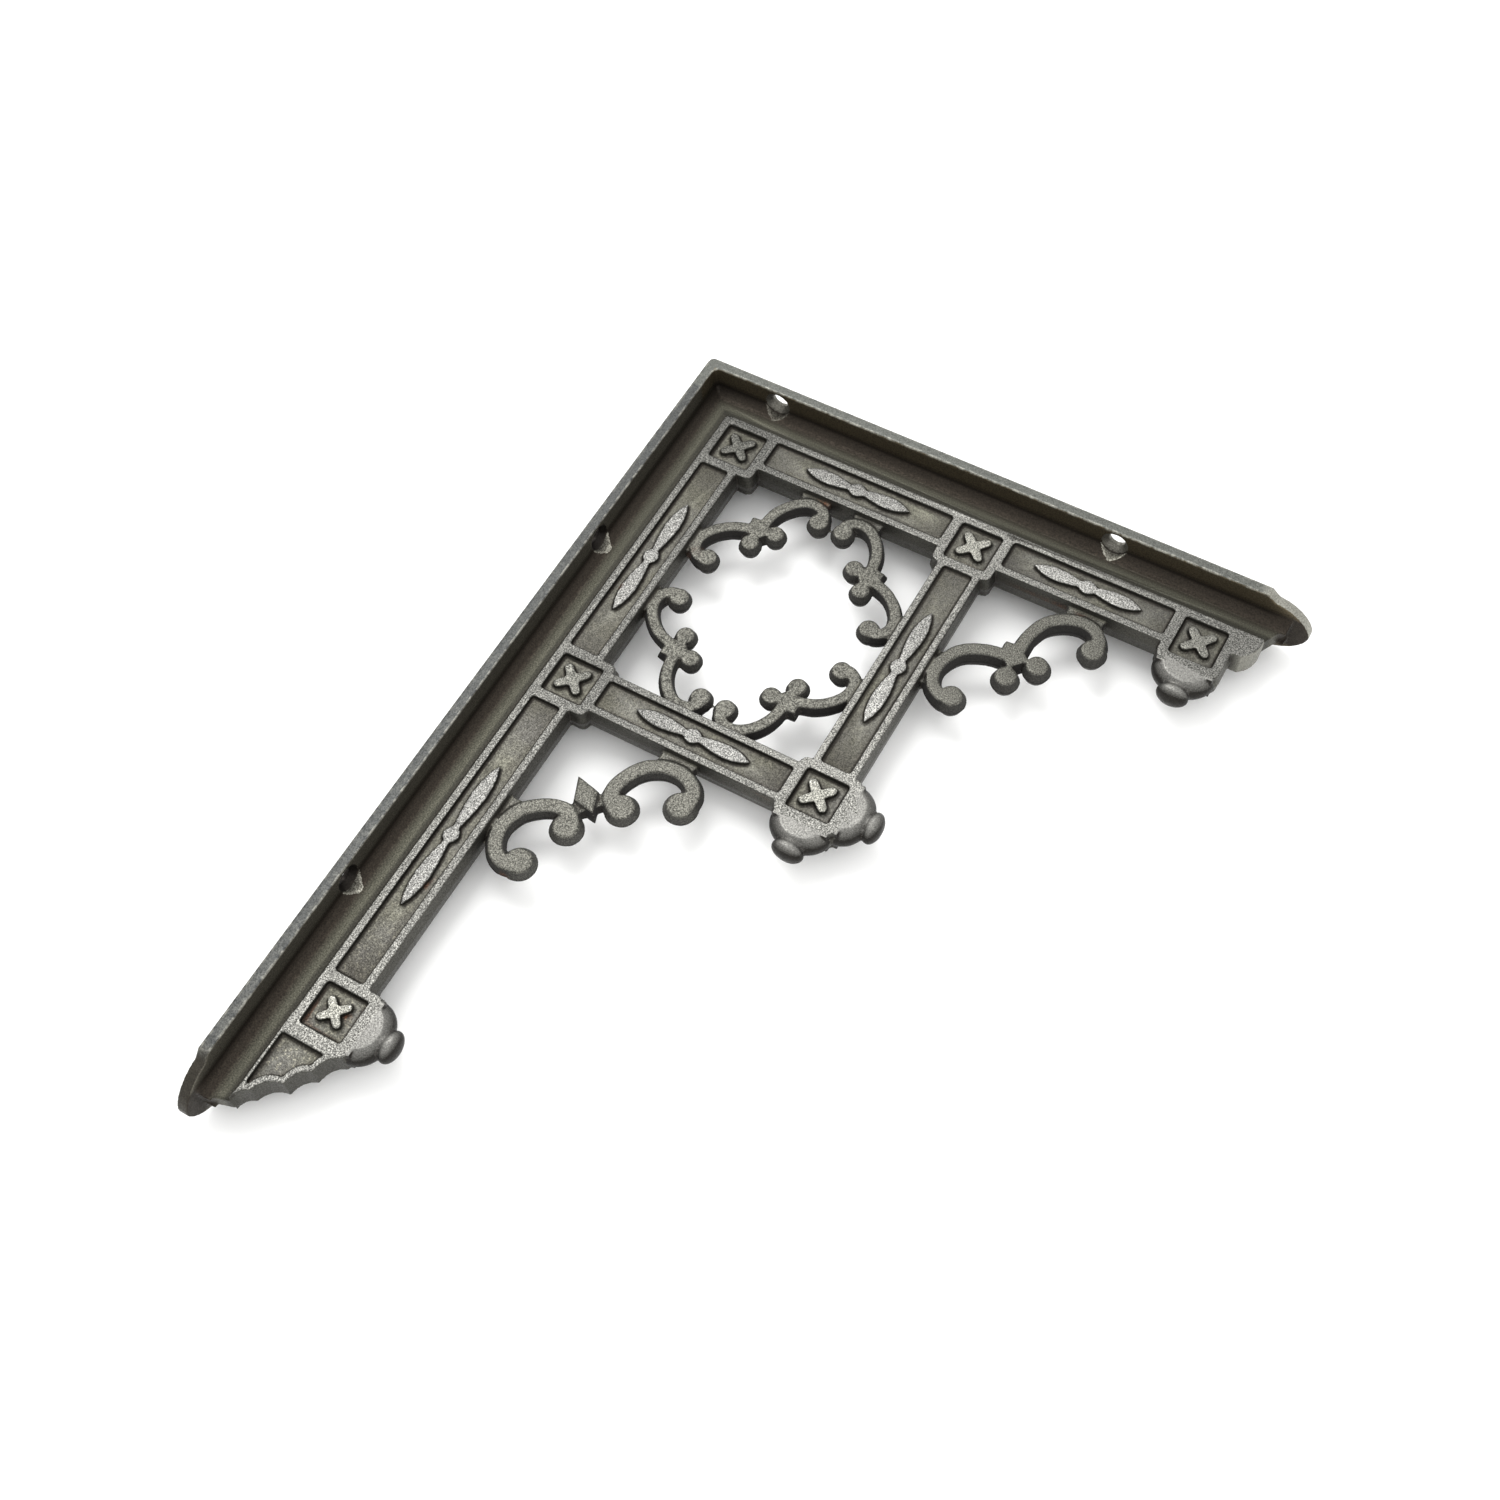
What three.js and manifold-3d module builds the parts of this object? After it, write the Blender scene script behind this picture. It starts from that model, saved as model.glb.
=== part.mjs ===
import * as THREE from 'three';
import { mergeVertices } from 'three/addons/utils/BufferGeometryUtils.js';
import Module from 'manifold-3d';

// Ornate cast iron shelf bracket, one sand casting, in millimetres with +Z up.
// It is drawn as it hangs: the back of the wall strip is the plane x = 0, the top of the shelf
// strip is the highest plane, and the pierced web lies in the plane y = 0, between them.
// The origin is on the wall face, half way down the wall strip.

// Overall sizes
const wallLength = 300;
const shelfLength = 218;
const stripWidth = 27;
const stripThick = 3.6;
const stripCornerRadius = 2;
const innerCornerRadius = 2.4;
const cornerBite = 0.5;
const castThick = 9.2;
const landThick = 6;
const coveRadius = 4;
const landBite = 0.3;

// The shaped nose at the free end of each strip
const noseLength = 15.4;
const noseBodyLength = 12.7;
const noseHalfWidth = 10.9;
const nosePower = 1.7;
const noseSteps = 7;

// Screw holes, each one through a strip beside the web, and widened inside for the screw's head
const screwRadius = 2.8;
const screwHeadRadius = 4.6;
const screwHeadSink = 1.8;
const screwOffset = 7.7;
const screwGroove = 8;
const shelfScrewNear = 27.6;
const shelfScrewFar = 151.1;
const wallScrewNear = 79;
const wallScrewFar = 219.3;

// Square blocks, one at each crossing of the bars
const blockInset = 23.4;
const shelfPitchNear = 87.6;
const shelfPitchFar = 78;
const wallPitchNear = 104;
const wallPitchFar = 127.8;
const blockHalf = 10.4;
const blockCornerRadius = 2;
const sinkHalf = 7.3;
const sinkDepth = 1.8;

// The four-lobed cross that stands in each block
const crossReach = 4.7;
const crossHalfWidth = 1.65;
const crossEndRadius = 1.5;
const crossEndTurn = 100;
const lowestCrossShare = 0.88;

// Bars with a sunk panel between two rails
const armInnerEdge = 5;
const armRail = 2.6;
const barHalf = 7.5;
const barRail = 2.4;
const panelDepth = 1.5;
const panelGap = 0.5;
const panelCornerRadius = 0.8;

// The pair of lancet leaves with a bead between them that stands in each panel
const leafHalfWidth = 2.25;
const leafNeckHalfWidth = 0.6;
const beadRadius = 2.7;
const beadToLeaf = 0.9;
const leafSpanShelfNear = 38.5;
const leafSpanShelfFar = 37.5;
const leafSpanWallNear = 47.7;
const leafSpanWallFar = 53.8;
const leafSpanCross = 40.6;
const leafSpanPost = 45.8;
const leafSteps = 6;

// Bud pendants: a cup on the side of a block, a neck and a flattened button
const cupHalfWidth = 10.2;
const cupLength = 8.2;
const cupFlatHalfWidth = 9.2;
const cupFlatLength = 4.6;
const cupHalfThick = 4.5;
const cupBite = 2;
const neckRadius = 3.7;
const buttonCentre = 18.9;
const buttonHalfWidth = 5.3;
const buttonHalfLength = 3;
const buttonHalfThick = 4.6;

// The wavy end of the web under the lowest block, measured from the centre of that block
const wavyCusps = [[10.4, -10.4], [5.2, -17.8], [0.2, -24.7], [-7.2, -30.8], [-10.9, -35.9]];
const wavySagShare = 0.16;
const wavyEndDrop = 38.6;
const wavyRim = 1.5;
const wavySinkLeft = 9.6;
const wavySinkTop = 12.1;
const wavySinkSlope = 0.6;
const wavySinkFoot = 0.5;

// The hollow-curved end of the web past the outermost block, measured from that block's centre
const tailStepOut = 13.6;
const tailStepDrop = 0.9;
const tailPointOut = 17.5;
const tailLandOut = 22.6;
const tailSag = 1.6;

// Scrolls. Each strap's middle line is a smooth curve through points [along, aside], in a frame
// whose first axis runs from the knot towards the open side of the scroll.
const ringScroll = {
  thick: 5.6,
  strapWidth: 3.8,
  knotHalf: 2.8,
  knotBack: 1.8,
  innerBall: [2.9, 4.4, 3.3],
  outerBall: [3.5, 19.3, 3.5],
  path: [[-0.4, 0.4], [-3, 3.6], [-5.1, 7.4], [-6.1, 11.9], [-5.8, 16.4], [-4, 20], [-1, 21.9],
    [2.1, 21.7], [3.8, 20]],
};
const shelfScroll = {
  thick: 6.8,
  strapWidth: 4.4,
  knotHalf: 3.1,
  knotBack: 1.8,
  innerBall: [5.3, 5.3, 3.9],
  outerBall: [6, 23.7, 4.1],
  path: [[-0.5, 0.5], [-2.9, 3.3], [-5.4, 6.3], [-7.2, 9.7], [-8.5, 13.5], [-8.5, 17], [-7.2, 21.2],
    [-4.6, 25], [-1.2, 27.1], [2, 27.4], [5, 26.4], [6.3, 24.3]],
};
const wallScroll = {
  thick: 5.8,
  strapWidth: 5,
  knotHalf: 0,
  knotBack: 0,
  innerBall: [8.5, 8.8, 4.7],
  outerBall: [14.4, 25.6, 4.8],
  path: [[7.9, 6.7], [4, 6.7], [0.9, 9.3], [-1.1, 13.4], [-2, 18], [-1.5, 22], [0.6, 26.3],
    [4.2, 29.6], [8.6, 31.1], [12.6, 30.3], [15.2, 27.5]],
};
const strapSteps = 14;
const ballSteps = 12;
const ellipsoidRings = 6;
const knotCornerRadius = 0.9;
const ringAxisTurn = 40.7;
const ringShiftDown = 0.85;
const ringKnotAlong = 19.7;
const ringKnotAside = 25.8;
const shelfScrollTurn = 41;
const shelfScrollKnotRight = 30;
const shelfScrollKnotDrop = 31.2;
const wallScrollTurn = 40;
const wallScrollKnotRight = 24.7;
const wallScrollKnotDrop = 32.2;

// The bridge between the two inner balls of a knot, as shares of the knot's half width
const bridgeBack = 0.37;
const bridgeBackHalf = 0.47;
const bridgeReach = 1.1;
const bridgeHalf = 1.55;

// Short pads of thinner web where a strap meets a bar, placed from the knot of each scroll
const padThick = 4.4;
const padBite = 0.5;
const ringPadReach = 3.2;
const ringPadHalfLength = 5;
const ringPadUp = 12.5;
const ringPadAlong = 10;
const shelfPadReach = 4;
const shelfPadDown = [8, 21];
const shelfPadTopReach = 5.5;
const shelfPadAlong = [6.5, 19];
const wallPadReach = 5;
const wallPadDown = [11, 24];
const wallPadAlong = [13, 25];

// The pointed lozenge leaf that clasps the two halves of the lowest scroll
const lozengeBack = 7.6;
const lozengeWaist = 1.2;
const lozengeTip = 8.9;
const lozengeHalfWidth = 4.5;
const lozengeThick = 8;
const claspHalfWidth = 7.5;
const claspFront = 1.5;
const claspBack = 6.5;
const claspThick = 4.4;

// Derived positions
const topZ = wallLength / 2;
const blockA = [blockInset, topZ - blockInset];
const blockB = [blockA[0] + shelfPitchNear, blockA[1]];
const blockE = [blockB[0] + shelfPitchFar, blockA[1]];
const blockC = [blockA[0], blockA[1] - wallPitchNear];
const blockD = [blockB[0], blockC[1]];
const blockF = [blockA[0], blockC[1] - wallPitchFar];
const halfThick = castThick / 2;

const wasm = await Module();
wasm.setup();

// Turns a closed three.js geometry into a solid that can be joined and cut.
function solidOf(geometry) {
  const bare = new THREE.BufferGeometry();
  bare.setAttribute('position', geometry.getAttribute('position'));
  bare.setIndex(geometry.getIndex());
  const merged = mergeVertices(bare, 1e-4);
  const points = Float32Array.from(merged.getAttribute('position').array);
  const corners = [];
  const index = merged.getIndex().array;
  for (let i = 0; i < index.length; i += 3) {
    const [a, b, c] = [index[i], index[i + 1], index[i + 2]];
    if (a !== b && b !== c && c !== a) corners.push(a, b, c);
  }
  const mesh = new wasm.Mesh({ numProp: 3, vertProperties: points, triVerts: Uint32Array.from(corners) });
  return new wasm.Manifold(mesh);
}

function joined(solids) {
  return solids.reduce((whole, next) => whole.add(next));
}

// A box from its lowest to its highest corner.
function box(low, high) {
  const size = [0, 1, 2].map((k) => high[k] - low[k]);
  const geometry = new THREE.BoxGeometry(size[0], size[1], size[2]);
  geometry.translate(low[0] + size[0] / 2, low[1] + size[1] / 2, low[2] + size[2] / 2);
  return solidOf(geometry);
}

// An upright plate cut to an outline of [x, z] points, from y = near to y = far.
function slab(outline, near, far) {
  const shape = new THREE.Shape(outline.map(([x, z]) => new THREE.Vector2(x, z)));
  const geometry = new THREE.ExtrudeGeometry(shape, { depth: far - near, bevelEnabled: false });
  geometry.rotateX(Math.PI / 2);
  geometry.translate(0, far, 0);
  return solidOf(geometry);
}

function centredSlab(outline, thick) {
  return slab(outline, -thick / 2, thick / 2);
}

// Points of an arc, both ends included.
function arc(centre, radius, from, to, steps) {
  return Array.from({ length: steps + 1 }, (_, i) => {
    const angle = THREE.MathUtils.degToRad(from + ((to - from) * i) / steps);
    return [centre[0] + radius * Math.cos(angle), centre[1] + radius * Math.sin(angle)];
  });
}

function roundedRectangle(low, high, radius) {
  return [
    ...arc([high[0] - radius, high[1] - radius], radius, 0, 90, 2),
    ...arc([low[0] + radius, high[1] - radius], radius, 90, 180, 2),
    ...arc([low[0] + radius, low[1] + radius], radius, 180, 270, 2),
    ...arc([high[0] - radius, low[1] + radius], radius, 270, 360, 2),
  ];
}

function squareAround(centre, half, radius) {
  return roundedRectangle([centre[0] - half, centre[1] - half], [centre[0] + half, centre[1] + half], radius);
}

// A hollow curve from one point to the next: a parabola with its middle pulled in by the sag.
function hollowCurve(from, to, sag, steps) {
  const run = [to[0] - from[0], to[1] - from[1]];
  const length = Math.hypot(run[0], run[1]);
  const inward = [run[1] / length, -run[0] / length];
  return Array.from({ length: steps }, (_, i) => {
    const t = i / steps;
    const pull = 4 * sag * t * (1 - t);
    return [from[0] + run[0] * t + inward[0] * pull, from[1] + run[1] * t + inward[1] * pull];
  });
}

// Sinks an outline into both faces of the web. The ornament is left standing in the front one.
function sink(web, outline, ornament, depth) {
  const over = 1;
  const plain = slab(outline, 0, depth + over);
  const back = plain.translate([0, halfThick - depth, 0]);
  const shown = ornament ? plain.subtract(slab(ornament, -over, depth + 2 * over)) : plain;
  const front = shown.translate([0, -halfThick - over, 0]);
  return web.subtract(front).subtract(back);
}

// Outline of the cross: four round-ended lobes on the diagonals, at a share of the full size.
function crossOutline(centre, share) {
  const outline = [];
  const waist = crossHalfWidth * Math.SQRT2 * share;
  const reach = crossReach * share;
  for (let quarter = 0; quarter < 4; quarter += 1) {
    const turn = 45 + 90 * quarter;
    const angle = THREE.MathUtils.degToRad(turn);
    const notch = THREE.MathUtils.degToRad(90 * quarter);
    const end = [centre[0] + reach * Math.cos(angle), centre[1] + reach * Math.sin(angle)];
    outline.push([centre[0] + waist * Math.cos(notch), centre[1] + waist * Math.sin(notch)]);
    outline.push(...arc(end, crossEndRadius * share, turn - crossEndTurn, turn + crossEndTurn, 4));
  }
  return outline;
}

// Half width of the leaf ornament at a distance from the middle of its bead.
function leafHalf(distance, reach) {
  const bead = beadRadius ** 2 - distance ** 2;
  const share = Math.min(1, distance / reach);
  const swell = Math.sin(Math.PI * share ** 1.35) ** 0.8;
  const blade = share > 0.999 ? 0 : leafNeckHalfWidth * (1 - share) + leafHalfWidth * swell;
  return Math.max(blade, bead > 0 ? Math.sqrt(bead) : 0);
}

// Outline of the two leaves and the bead, along x or along z.
function leafOutline(centre, span, alongX) {
  const reach = span / 2;
  const leafStart = beadRadius + beadToLeaf;
  const beadStops = [0, 0.65, 1].map((share) => share * beadRadius);
  const leafStops = Array.from({ length: leafSteps }, (_, i) => {
    return leafStart + ((reach - leafStart) * (i + 1)) / leafSteps;
  });
  const stops = [...beadStops, ...leafStops];
  const half = stops.map((distance) => [distance, leafHalf(distance, reach)]);
  const upper = [...half.slice(1).reverse().map(([d, h]) => [-d, h]), ...half];
  const lower = [...upper].reverse().filter(([, h]) => h > 0).map(([d, h]) => [d, -h]);
  return [...upper, ...lower].map(([d, h]) => {
    return alongX ? [centre[0] + d, centre[1] + h] : [centre[0] + h, centre[1] + d];
  });
}

// A sunk panel with its leaves, between the edges of two blocks.
function sinkPanel(web, low, high, leafSpan) {
  const centre = [(low[0] + high[0]) / 2, (low[1] + high[1]) / 2];
  const alongX = high[0] - low[0] > high[1] - low[1];
  const outline = roundedRectangle(low, high, panelCornerRadius);
  return sink(web, outline, leafOutline(centre, leafSpan, alongX), panelDepth);
}

// Plan of a strip as [along, across] points, with its shaped nose at the far end.
function stripPlan(length) {
  const half = stripWidth / 2;
  const side = [[0, half], [length - noseLength, half]];
  for (let i = 0; i <= noseSteps; i += 1) {
    const share = 1 - Math.cos((Math.PI / 2) * (1 - i / noseSteps));
    const across = noseHalfWidth * (1 - (1 - share) ** nosePower) ** (1 / nosePower);
    side.push([length - noseBodyLength * share, across]);
  }
  const mirrored = side.slice(0, -1).reverse().map(([along, across]) => [along, -across]);
  return [...side, ...mirrored];
}

// Concave fillet between the web and a strip, as a section of [out, aside] points.
function coveSection() {
  const start = landThick / 2;
  const root = start - cornerBite;
  const curve = arc([coveRadius, start + coveRadius], coveRadius, 180, 270, 4);
  return [[-cornerBite, root], [-cornerBite, start + coveRadius], ...curve, [coveRadius, root]];
}

function stripGeometry(outline, depth) {
  const shape = new THREE.Shape(outline.map(([x, y]) => new THREE.Vector2(x, y)));
  return new THREE.ExtrudeGeometry(shape, { depth, bevelEnabled: false });
}

function placed(geometry, xAxis, yAxis, zAxis, origin) {
  const turn = new THREE.Matrix4().makeBasis(
    new THREE.Vector3(...xAxis),
    new THREE.Vector3(...yAxis),
    new THREE.Vector3(...zAxis),
  );
  turn.setPosition(...origin);
  geometry.applyMatrix4(turn);
  return solidOf(geometry);
}

// A screw hole from the back of a strip, with the seat of the screw's head on the inner side.
// The seat runs on far enough to groove the cove beside it.
function drill(axis, centre) {
  const over = 1;
  const profile = [
    [0, -over],
    [screwRadius, -over],
    [screwRadius, stripThick - screwHeadSink],
    [screwHeadRadius, stripThick],
    [screwHeadRadius, screwGroove],
    [0, screwGroove],
  ];
  const geometry = new THREE.LatheGeometry(profile.map(([x, y]) => new THREE.Vector2(x, y)), 14);
  if (axis === 'x') geometry.rotateZ(-Math.PI / 2);
  if (axis === 'z') geometry.rotateX(-Math.PI / 2);
  geometry.translate(centre[0], centre[1], centre[2]);
  return solidOf(geometry);
}

// Both strips with their coves, before the web joins them.
function makeStrips() {
  const shelfPlan = stripGeometry(stripPlan(shelfLength), stripThick);
  const shelf = placed(shelfPlan, [1, 0, 0], [0, 1, 0], [0, 0, 1], [0, 0, topZ - stripThick]);
  const wallPlan = stripGeometry(stripPlan(wallLength), stripThick);
  const wall = placed(wallPlan, [0, 0, -1], [0, 1, 0], [1, 0, 0], [0, 0, topZ]);
  const inside = [stripThick + innerCornerRadius, topZ - stripThick - innerCornerRadius];
  const filletRoot = [stripThick - cornerBite, topZ - stripThick + cornerBite];
  const fillet = [
    [filletRoot[0], inside[1]],
    ...arc(inside, innerCornerRadius, 180, 90, 3),
    [inside[0], filletRoot[1]],
    filletRoot,
  ];
  const solids = [shelf, wall, centredSlab(fillet, stripWidth)];
  for (const side of [1, -1]) {
    const section = coveSection().map(([out, aside]) => [out, aside * side]);
    const shelfRun = blockE[0] + tailLandOut - stripThick;
    const shelfCove = stripGeometry(section, shelfRun);
    solids.push(placed(shelfCove, [0, 0, -1], [0, 1, 0], [1, 0, 0], [stripThick, 0, topZ - stripThick]));
    const wallRun = topZ - blockF[1] + wavyEndDrop - stripThick;
    const wallCove = stripGeometry(section, wallRun);
    solids.push(placed(wallCove, [1, 0, 0], [0, -1, 0], [0, 0, -1], [stripThick, 0, topZ - stripThick]));
  }
  return joined(solids);
}

function cutScrewHoles(strips) {
  let cut = strips;
  for (const side of [screwOffset, -screwOffset]) {
    for (const along of [shelfScrewNear, shelfScrewFar]) {
      cut = cut.subtract(drill('z', [along, side, topZ]));
    }
    for (const down of [wallScrewNear, wallScrewFar]) {
      cut = cut.subtract(drill('x', [0, side, topZ - down]));
    }
  }
  return cut;
}

// The outer corner where the strips meet is rounded over.
function roundOuterCorner(casting) {
  const over = 1;
  const radius = stripCornerRadius;
  const corner = [
    [-over, topZ + over],
    [radius, topZ + over],
    ...arc([radius, topZ - radius], radius, 90, 180, 3),
    [-over, topZ - radius],
  ];
  return casting.subtract(centredSlab(corner, stripWidth + 2 * over));
}

// Outline of the wavy end from the lowest block down to the wall strip.
function wavyOutline(shiftX, shiftZ) {
  const points = wavyCusps.map(([x, z]) => [blockF[0] + x + shiftX, blockF[1] + z + shiftZ]);
  const outline = [];
  for (let i = 0; i < points.length - 1; i += 1) {
    const [from, to] = [points[i], points[i + 1]];
    const chord = Math.hypot(to[0] - from[0], to[1] - from[1]);
    outline.push(...hollowCurve(from, to, wavySagShare * chord, 4));
  }
  outline.push(points[points.length - 1]);
  return outline;
}

// The flat web: land beside the strips, arms, bars, blocks and both shaped ends.
function makeWeb() {
  const stripUnder = topZ - stripThick + landBite;
  const stripFront = stripThick - landBite;
  const armTop = blockA[1] + blockHalf;
  const armLeft = blockA[0] - blockHalf;
  const tailStep = [blockE[0] + tailStepOut, blockE[1] + tailStepDrop];
  const tailPoint = [blockE[0] + tailPointOut, armTop];
  const wavyTip = wavyCusps[wavyCusps.length - 1];
  const wavyFoot = blockF[1] + wavyTip[1];
  const tail = [
    [blockE[0], armTop],
    ...hollowCurve(tailPoint, tailStep, -tailSag, 4),
    tailStep,
    [blockE[0], tailStep[1]],
  ];
  const shelfLand = [
    [stripFront, stripUnder],
    [stripFront, blockA[1]],
    tailStep,
    tailPoint,
    [blockE[0] + tailLandOut, stripUnder],
  ];
  const wallLand = [
    [stripFront, blockA[1]],
    blockA,
    blockF,
    [blockF[0] + wavyTip[0], wavyFoot],
    [stripFront, blockF[1] - wavyEndDrop],
  ];
  const wavyBody = [[armLeft, blockF[1]], [blockF[0] + blockHalf, blockF[1]], ...wavyOutline(0, 0)];
  const parts = [
    centredSlab(shelfLand, landThick),
    centredSlab(wallLand, landThick),
    centredSlab(tail, castThick),
    centredSlab(wavyBody, castThick),
    box([blockA[0], -halfThick, blockA[1] - armInnerEdge], [blockE[0], halfThick, armTop]),
    box([armLeft, -halfThick, blockF[1]], [blockA[0] + armInnerEdge, halfThick, blockA[1]]),
    box([blockB[0] - barHalf, -halfThick, blockD[1]], [blockB[0] + barHalf, halfThick, blockB[1]]),
    box([blockC[0], -halfThick, blockC[1] - barHalf], [blockD[0], halfThick, blockC[1] + barHalf]),
  ];
  for (const block of [blockA, blockB, blockC, blockD, blockE, blockF]) {
    parts.push(centredSlab(squareAround(block, blockHalf, blockCornerRadius), castThick));
  }
  return joined(parts);
}

// Sinks the square recesses, the bar panels and the triangular panel at the wavy end.
function carveWeb(web) {
  const armLow = -armInnerEdge + armRail;
  const armHigh = blockHalf - armRail;
  const barIn = barHalf - barRail;
  const start = blockHalf + panelGap;
  let carved = web;
  for (const block of [blockA, blockB, blockC, blockD, blockE, blockF]) {
    const cross = crossOutline(block, block === blockF ? lowestCrossShare : 1);
    carved = sink(carved, squareAround(block, sinkHalf, panelCornerRadius), cross, sinkDepth);
  }
  const shelfPanels = [[blockA, blockB, leafSpanShelfNear], [blockB, blockE, leafSpanShelfFar]];
  for (const [from, to, span] of shelfPanels) {
    const low = [from[0] + start, from[1] + armLow];
    carved = sinkPanel(carved, low, [to[0] - start, from[1] + armHigh], span);
  }
  const wallPanels = [[blockA, blockC, leafSpanWallNear], [blockC, blockF, leafSpanWallFar]];
  for (const [from, to, span] of wallPanels) {
    const low = [from[0] - armHigh, to[1] + start];
    carved = sinkPanel(carved, low, [from[0] - armLow, from[1] - start], span);
  }
  const crossLow = [blockC[0] + start, blockC[1] - barIn];
  carved = sinkPanel(carved, crossLow, [blockD[0] - start, blockC[1] + barIn], leafSpanCross);
  const postLow = [blockD[0] - barIn, blockD[1] + start];
  carved = sinkPanel(carved, postLow, [blockD[0] + barIn, blockB[1] - start], leafSpanPost);
  const left = blockF[0] - wavySinkLeft;
  const top = blockF[1] - wavySinkTop;
  const triangle = wavyOutline(-wavyRim, wavyRim).filter(([x, z]) => x > left && z < top);
  const topRight = triangle[0][0] + (top - triangle[0][1]) * wavySinkSlope;
  const bottomZ = triangle[triangle.length - 1][1] - wavySinkFoot;
  const outline = [[left, top], [topRight, top], ...triangle, [left, bottomZ]];
  return sink(carved, outline, null, panelDepth);
}

// A cup, neck and button on one side of a block, which the direction [x, z] points away from.
function makePendant(block, direction) {
  const [dx, dz] = direction;
  const facing = (geometry) => {
    geometry.rotateY(Math.atan2(-dz, dx));
    geometry.translate(block[0], 0, block[1]);
    return solidOf(geometry);
  };
  const ball = (out, length, thick, halfWidth) => {
    const geometry = new THREE.SphereGeometry(1, ballSteps, ellipsoidRings);
    geometry.scale(length, thick, halfWidth);
    geometry.translate(out, 0, 0);
    return facing(geometry);
  };
  const rim = arc([0, 0], 1, -90, 90, 10).map(([out, aside]) => {
    return [blockHalf + out * cupFlatLength, aside * cupFlatHalfWidth];
  });
  const root = blockHalf - cupBite;
  const outline = [...rim, [root, cupFlatHalfWidth], [root, -cupFlatHalfWidth]];
  const face = outline.map(([out, aside]) => {
    return [block[0] + dx * out - dz * aside, block[1] + dz * out + dx * aside];
  });
  const neck = new THREE.CylinderGeometry(neckRadius, neckRadius, buttonCentre - blockHalf, ballSteps);
  neck.rotateZ(Math.PI / 2);
  neck.translate((buttonCentre + blockHalf) / 2, 0, 0);
  return joined([
    ball(blockHalf, cupLength, cupHalfThick, cupHalfWidth),
    centredSlab(face, castThick),
    facing(neck),
    ball(buttonCentre, buttonHalfLength, buttonHalfThick, buttonHalfWidth),
  ]);
}

// Outline of a strap of constant width that follows a smooth curve through the path's points.
function strapOutline(path, width) {
  const curve = new THREE.CatmullRomCurve3(path.map(([u, v]) => new THREE.Vector3(u, v, 0)));
  const left = [];
  const right = [];
  for (let i = 0; i <= strapSteps; i += 1) {
    const point = curve.getPointAt(i / strapSteps);
    const tangent = curve.getTangentAt(i / strapSteps);
    left.push([point.x - (tangent.y * width) / 2, point.y + (tangent.x * width) / 2]);
    right.push([point.x + (tangent.y * width) / 2, point.y - (tangent.x * width) / 2]);
  }
  return [...left, ...right.reverse()];
}

// A scroll of two mirrored halves, placed by its knot and the direction that it opens to.
function makeScroll(kind, knot, openX, openZ) {
  const place = ([u, v]) => [knot[0] + u * openX - v * openZ, knot[1] + u * openZ + v * openX];
  const pieces = [];
  for (const side of [1, -1]) {
    const strap = strapOutline(kind.path, kind.strapWidth).map(([u, v]) => place([u, v * side]));
    pieces.push(centredSlab(strap, kind.thick));
    for (const [u, v, radius] of [kind.innerBall, kind.outerBall]) {
      const disc = arc([u, v * side], radius, 0, 360, ballSteps).slice(0, -1).map(place);
      pieces.push(centredSlab(disc, kind.thick));
    }
  }
  if (kind.knotHalf > 0) {
    const centre = place([-kind.knotBack, 0]);
    pieces.push(centredSlab(squareAround(centre, kind.knotHalf, knotCornerRadius), kind.thick));
    const bridge = [
      [-bridgeBack, bridgeBackHalf],
      [bridgeReach, bridgeHalf],
      [bridgeReach, -bridgeHalf],
      [-bridgeBack, -bridgeBackHalf],
    ];
    const outline = bridge.map(([u, v]) => place([u * kind.knotHalf, v * kind.knotHalf]));
    pieces.push(centredSlab(outline, kind.thick));
  }
  return joined(pieces);
}

// A short pad of web that joins a strap to the bar beside it, given by two opposite corners.
function makePad(first, second) {
  const low = [Math.min(first[0], second[0]), -padThick / 2, Math.min(first[1], second[1])];
  const high = [Math.max(first[0], second[0]), padThick / 2, Math.max(first[1], second[1])];
  return box(low, high);
}

// The ring in the corner cell: four scrolls, each facing the middle, with two pads each.
function makeRing(left, right, bottom, top) {
  const middle = [(left + right) / 2, (top + bottom) / 2 - ringShiftDown];
  const turn = THREE.MathUtils.degToRad(ringAxisTurn);
  const half = ringPadHalfLength;
  const pieces = [];
  for (const sx of [1, -1]) {
    for (const sz of [1, -1]) {
      const knot = [middle[0] - sx * ringKnotAlong, middle[1] - sz * ringKnotAside];
      pieces.push(makeScroll(ringScroll, knot, sx * Math.cos(turn), sz * Math.sin(turn)));
      const edge = sx > 0 ? left : right;
      const up = knot[1] + sz * ringPadUp;
      pieces.push(makePad([edge - sx * padBite, up - half], [edge + sx * ringPadReach, up + half]));
      const level = sz > 0 ? bottom : top;
      const along = knot[0] + sx * ringPadAlong;
      pieces.push(makePad([along - half, level - sz * padBite], [along + half, level + sz * ringPadReach]));
    }
  }
  return joined(pieces);
}

// The scroll under the outer half of the shelf arm.
function makeShelfScroll(left, top) {
  const turn = THREE.MathUtils.degToRad(shelfScrollTurn);
  const knot = [blockB[0] + shelfScrollKnotRight, blockB[1] - shelfScrollKnotDrop];
  const [upper, lower] = shelfPadDown;
  const [near, far] = shelfPadAlong;
  return joined([
    makeScroll(shelfScroll, knot, Math.cos(turn), -Math.sin(turn)),
    makePad([left - padBite, knot[1] - lower], [left + shelfPadReach, knot[1] - upper]),
    makePad([knot[0] + near, top - shelfPadTopReach], [knot[0] + far, top + padBite]),
  ]);
}

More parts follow.
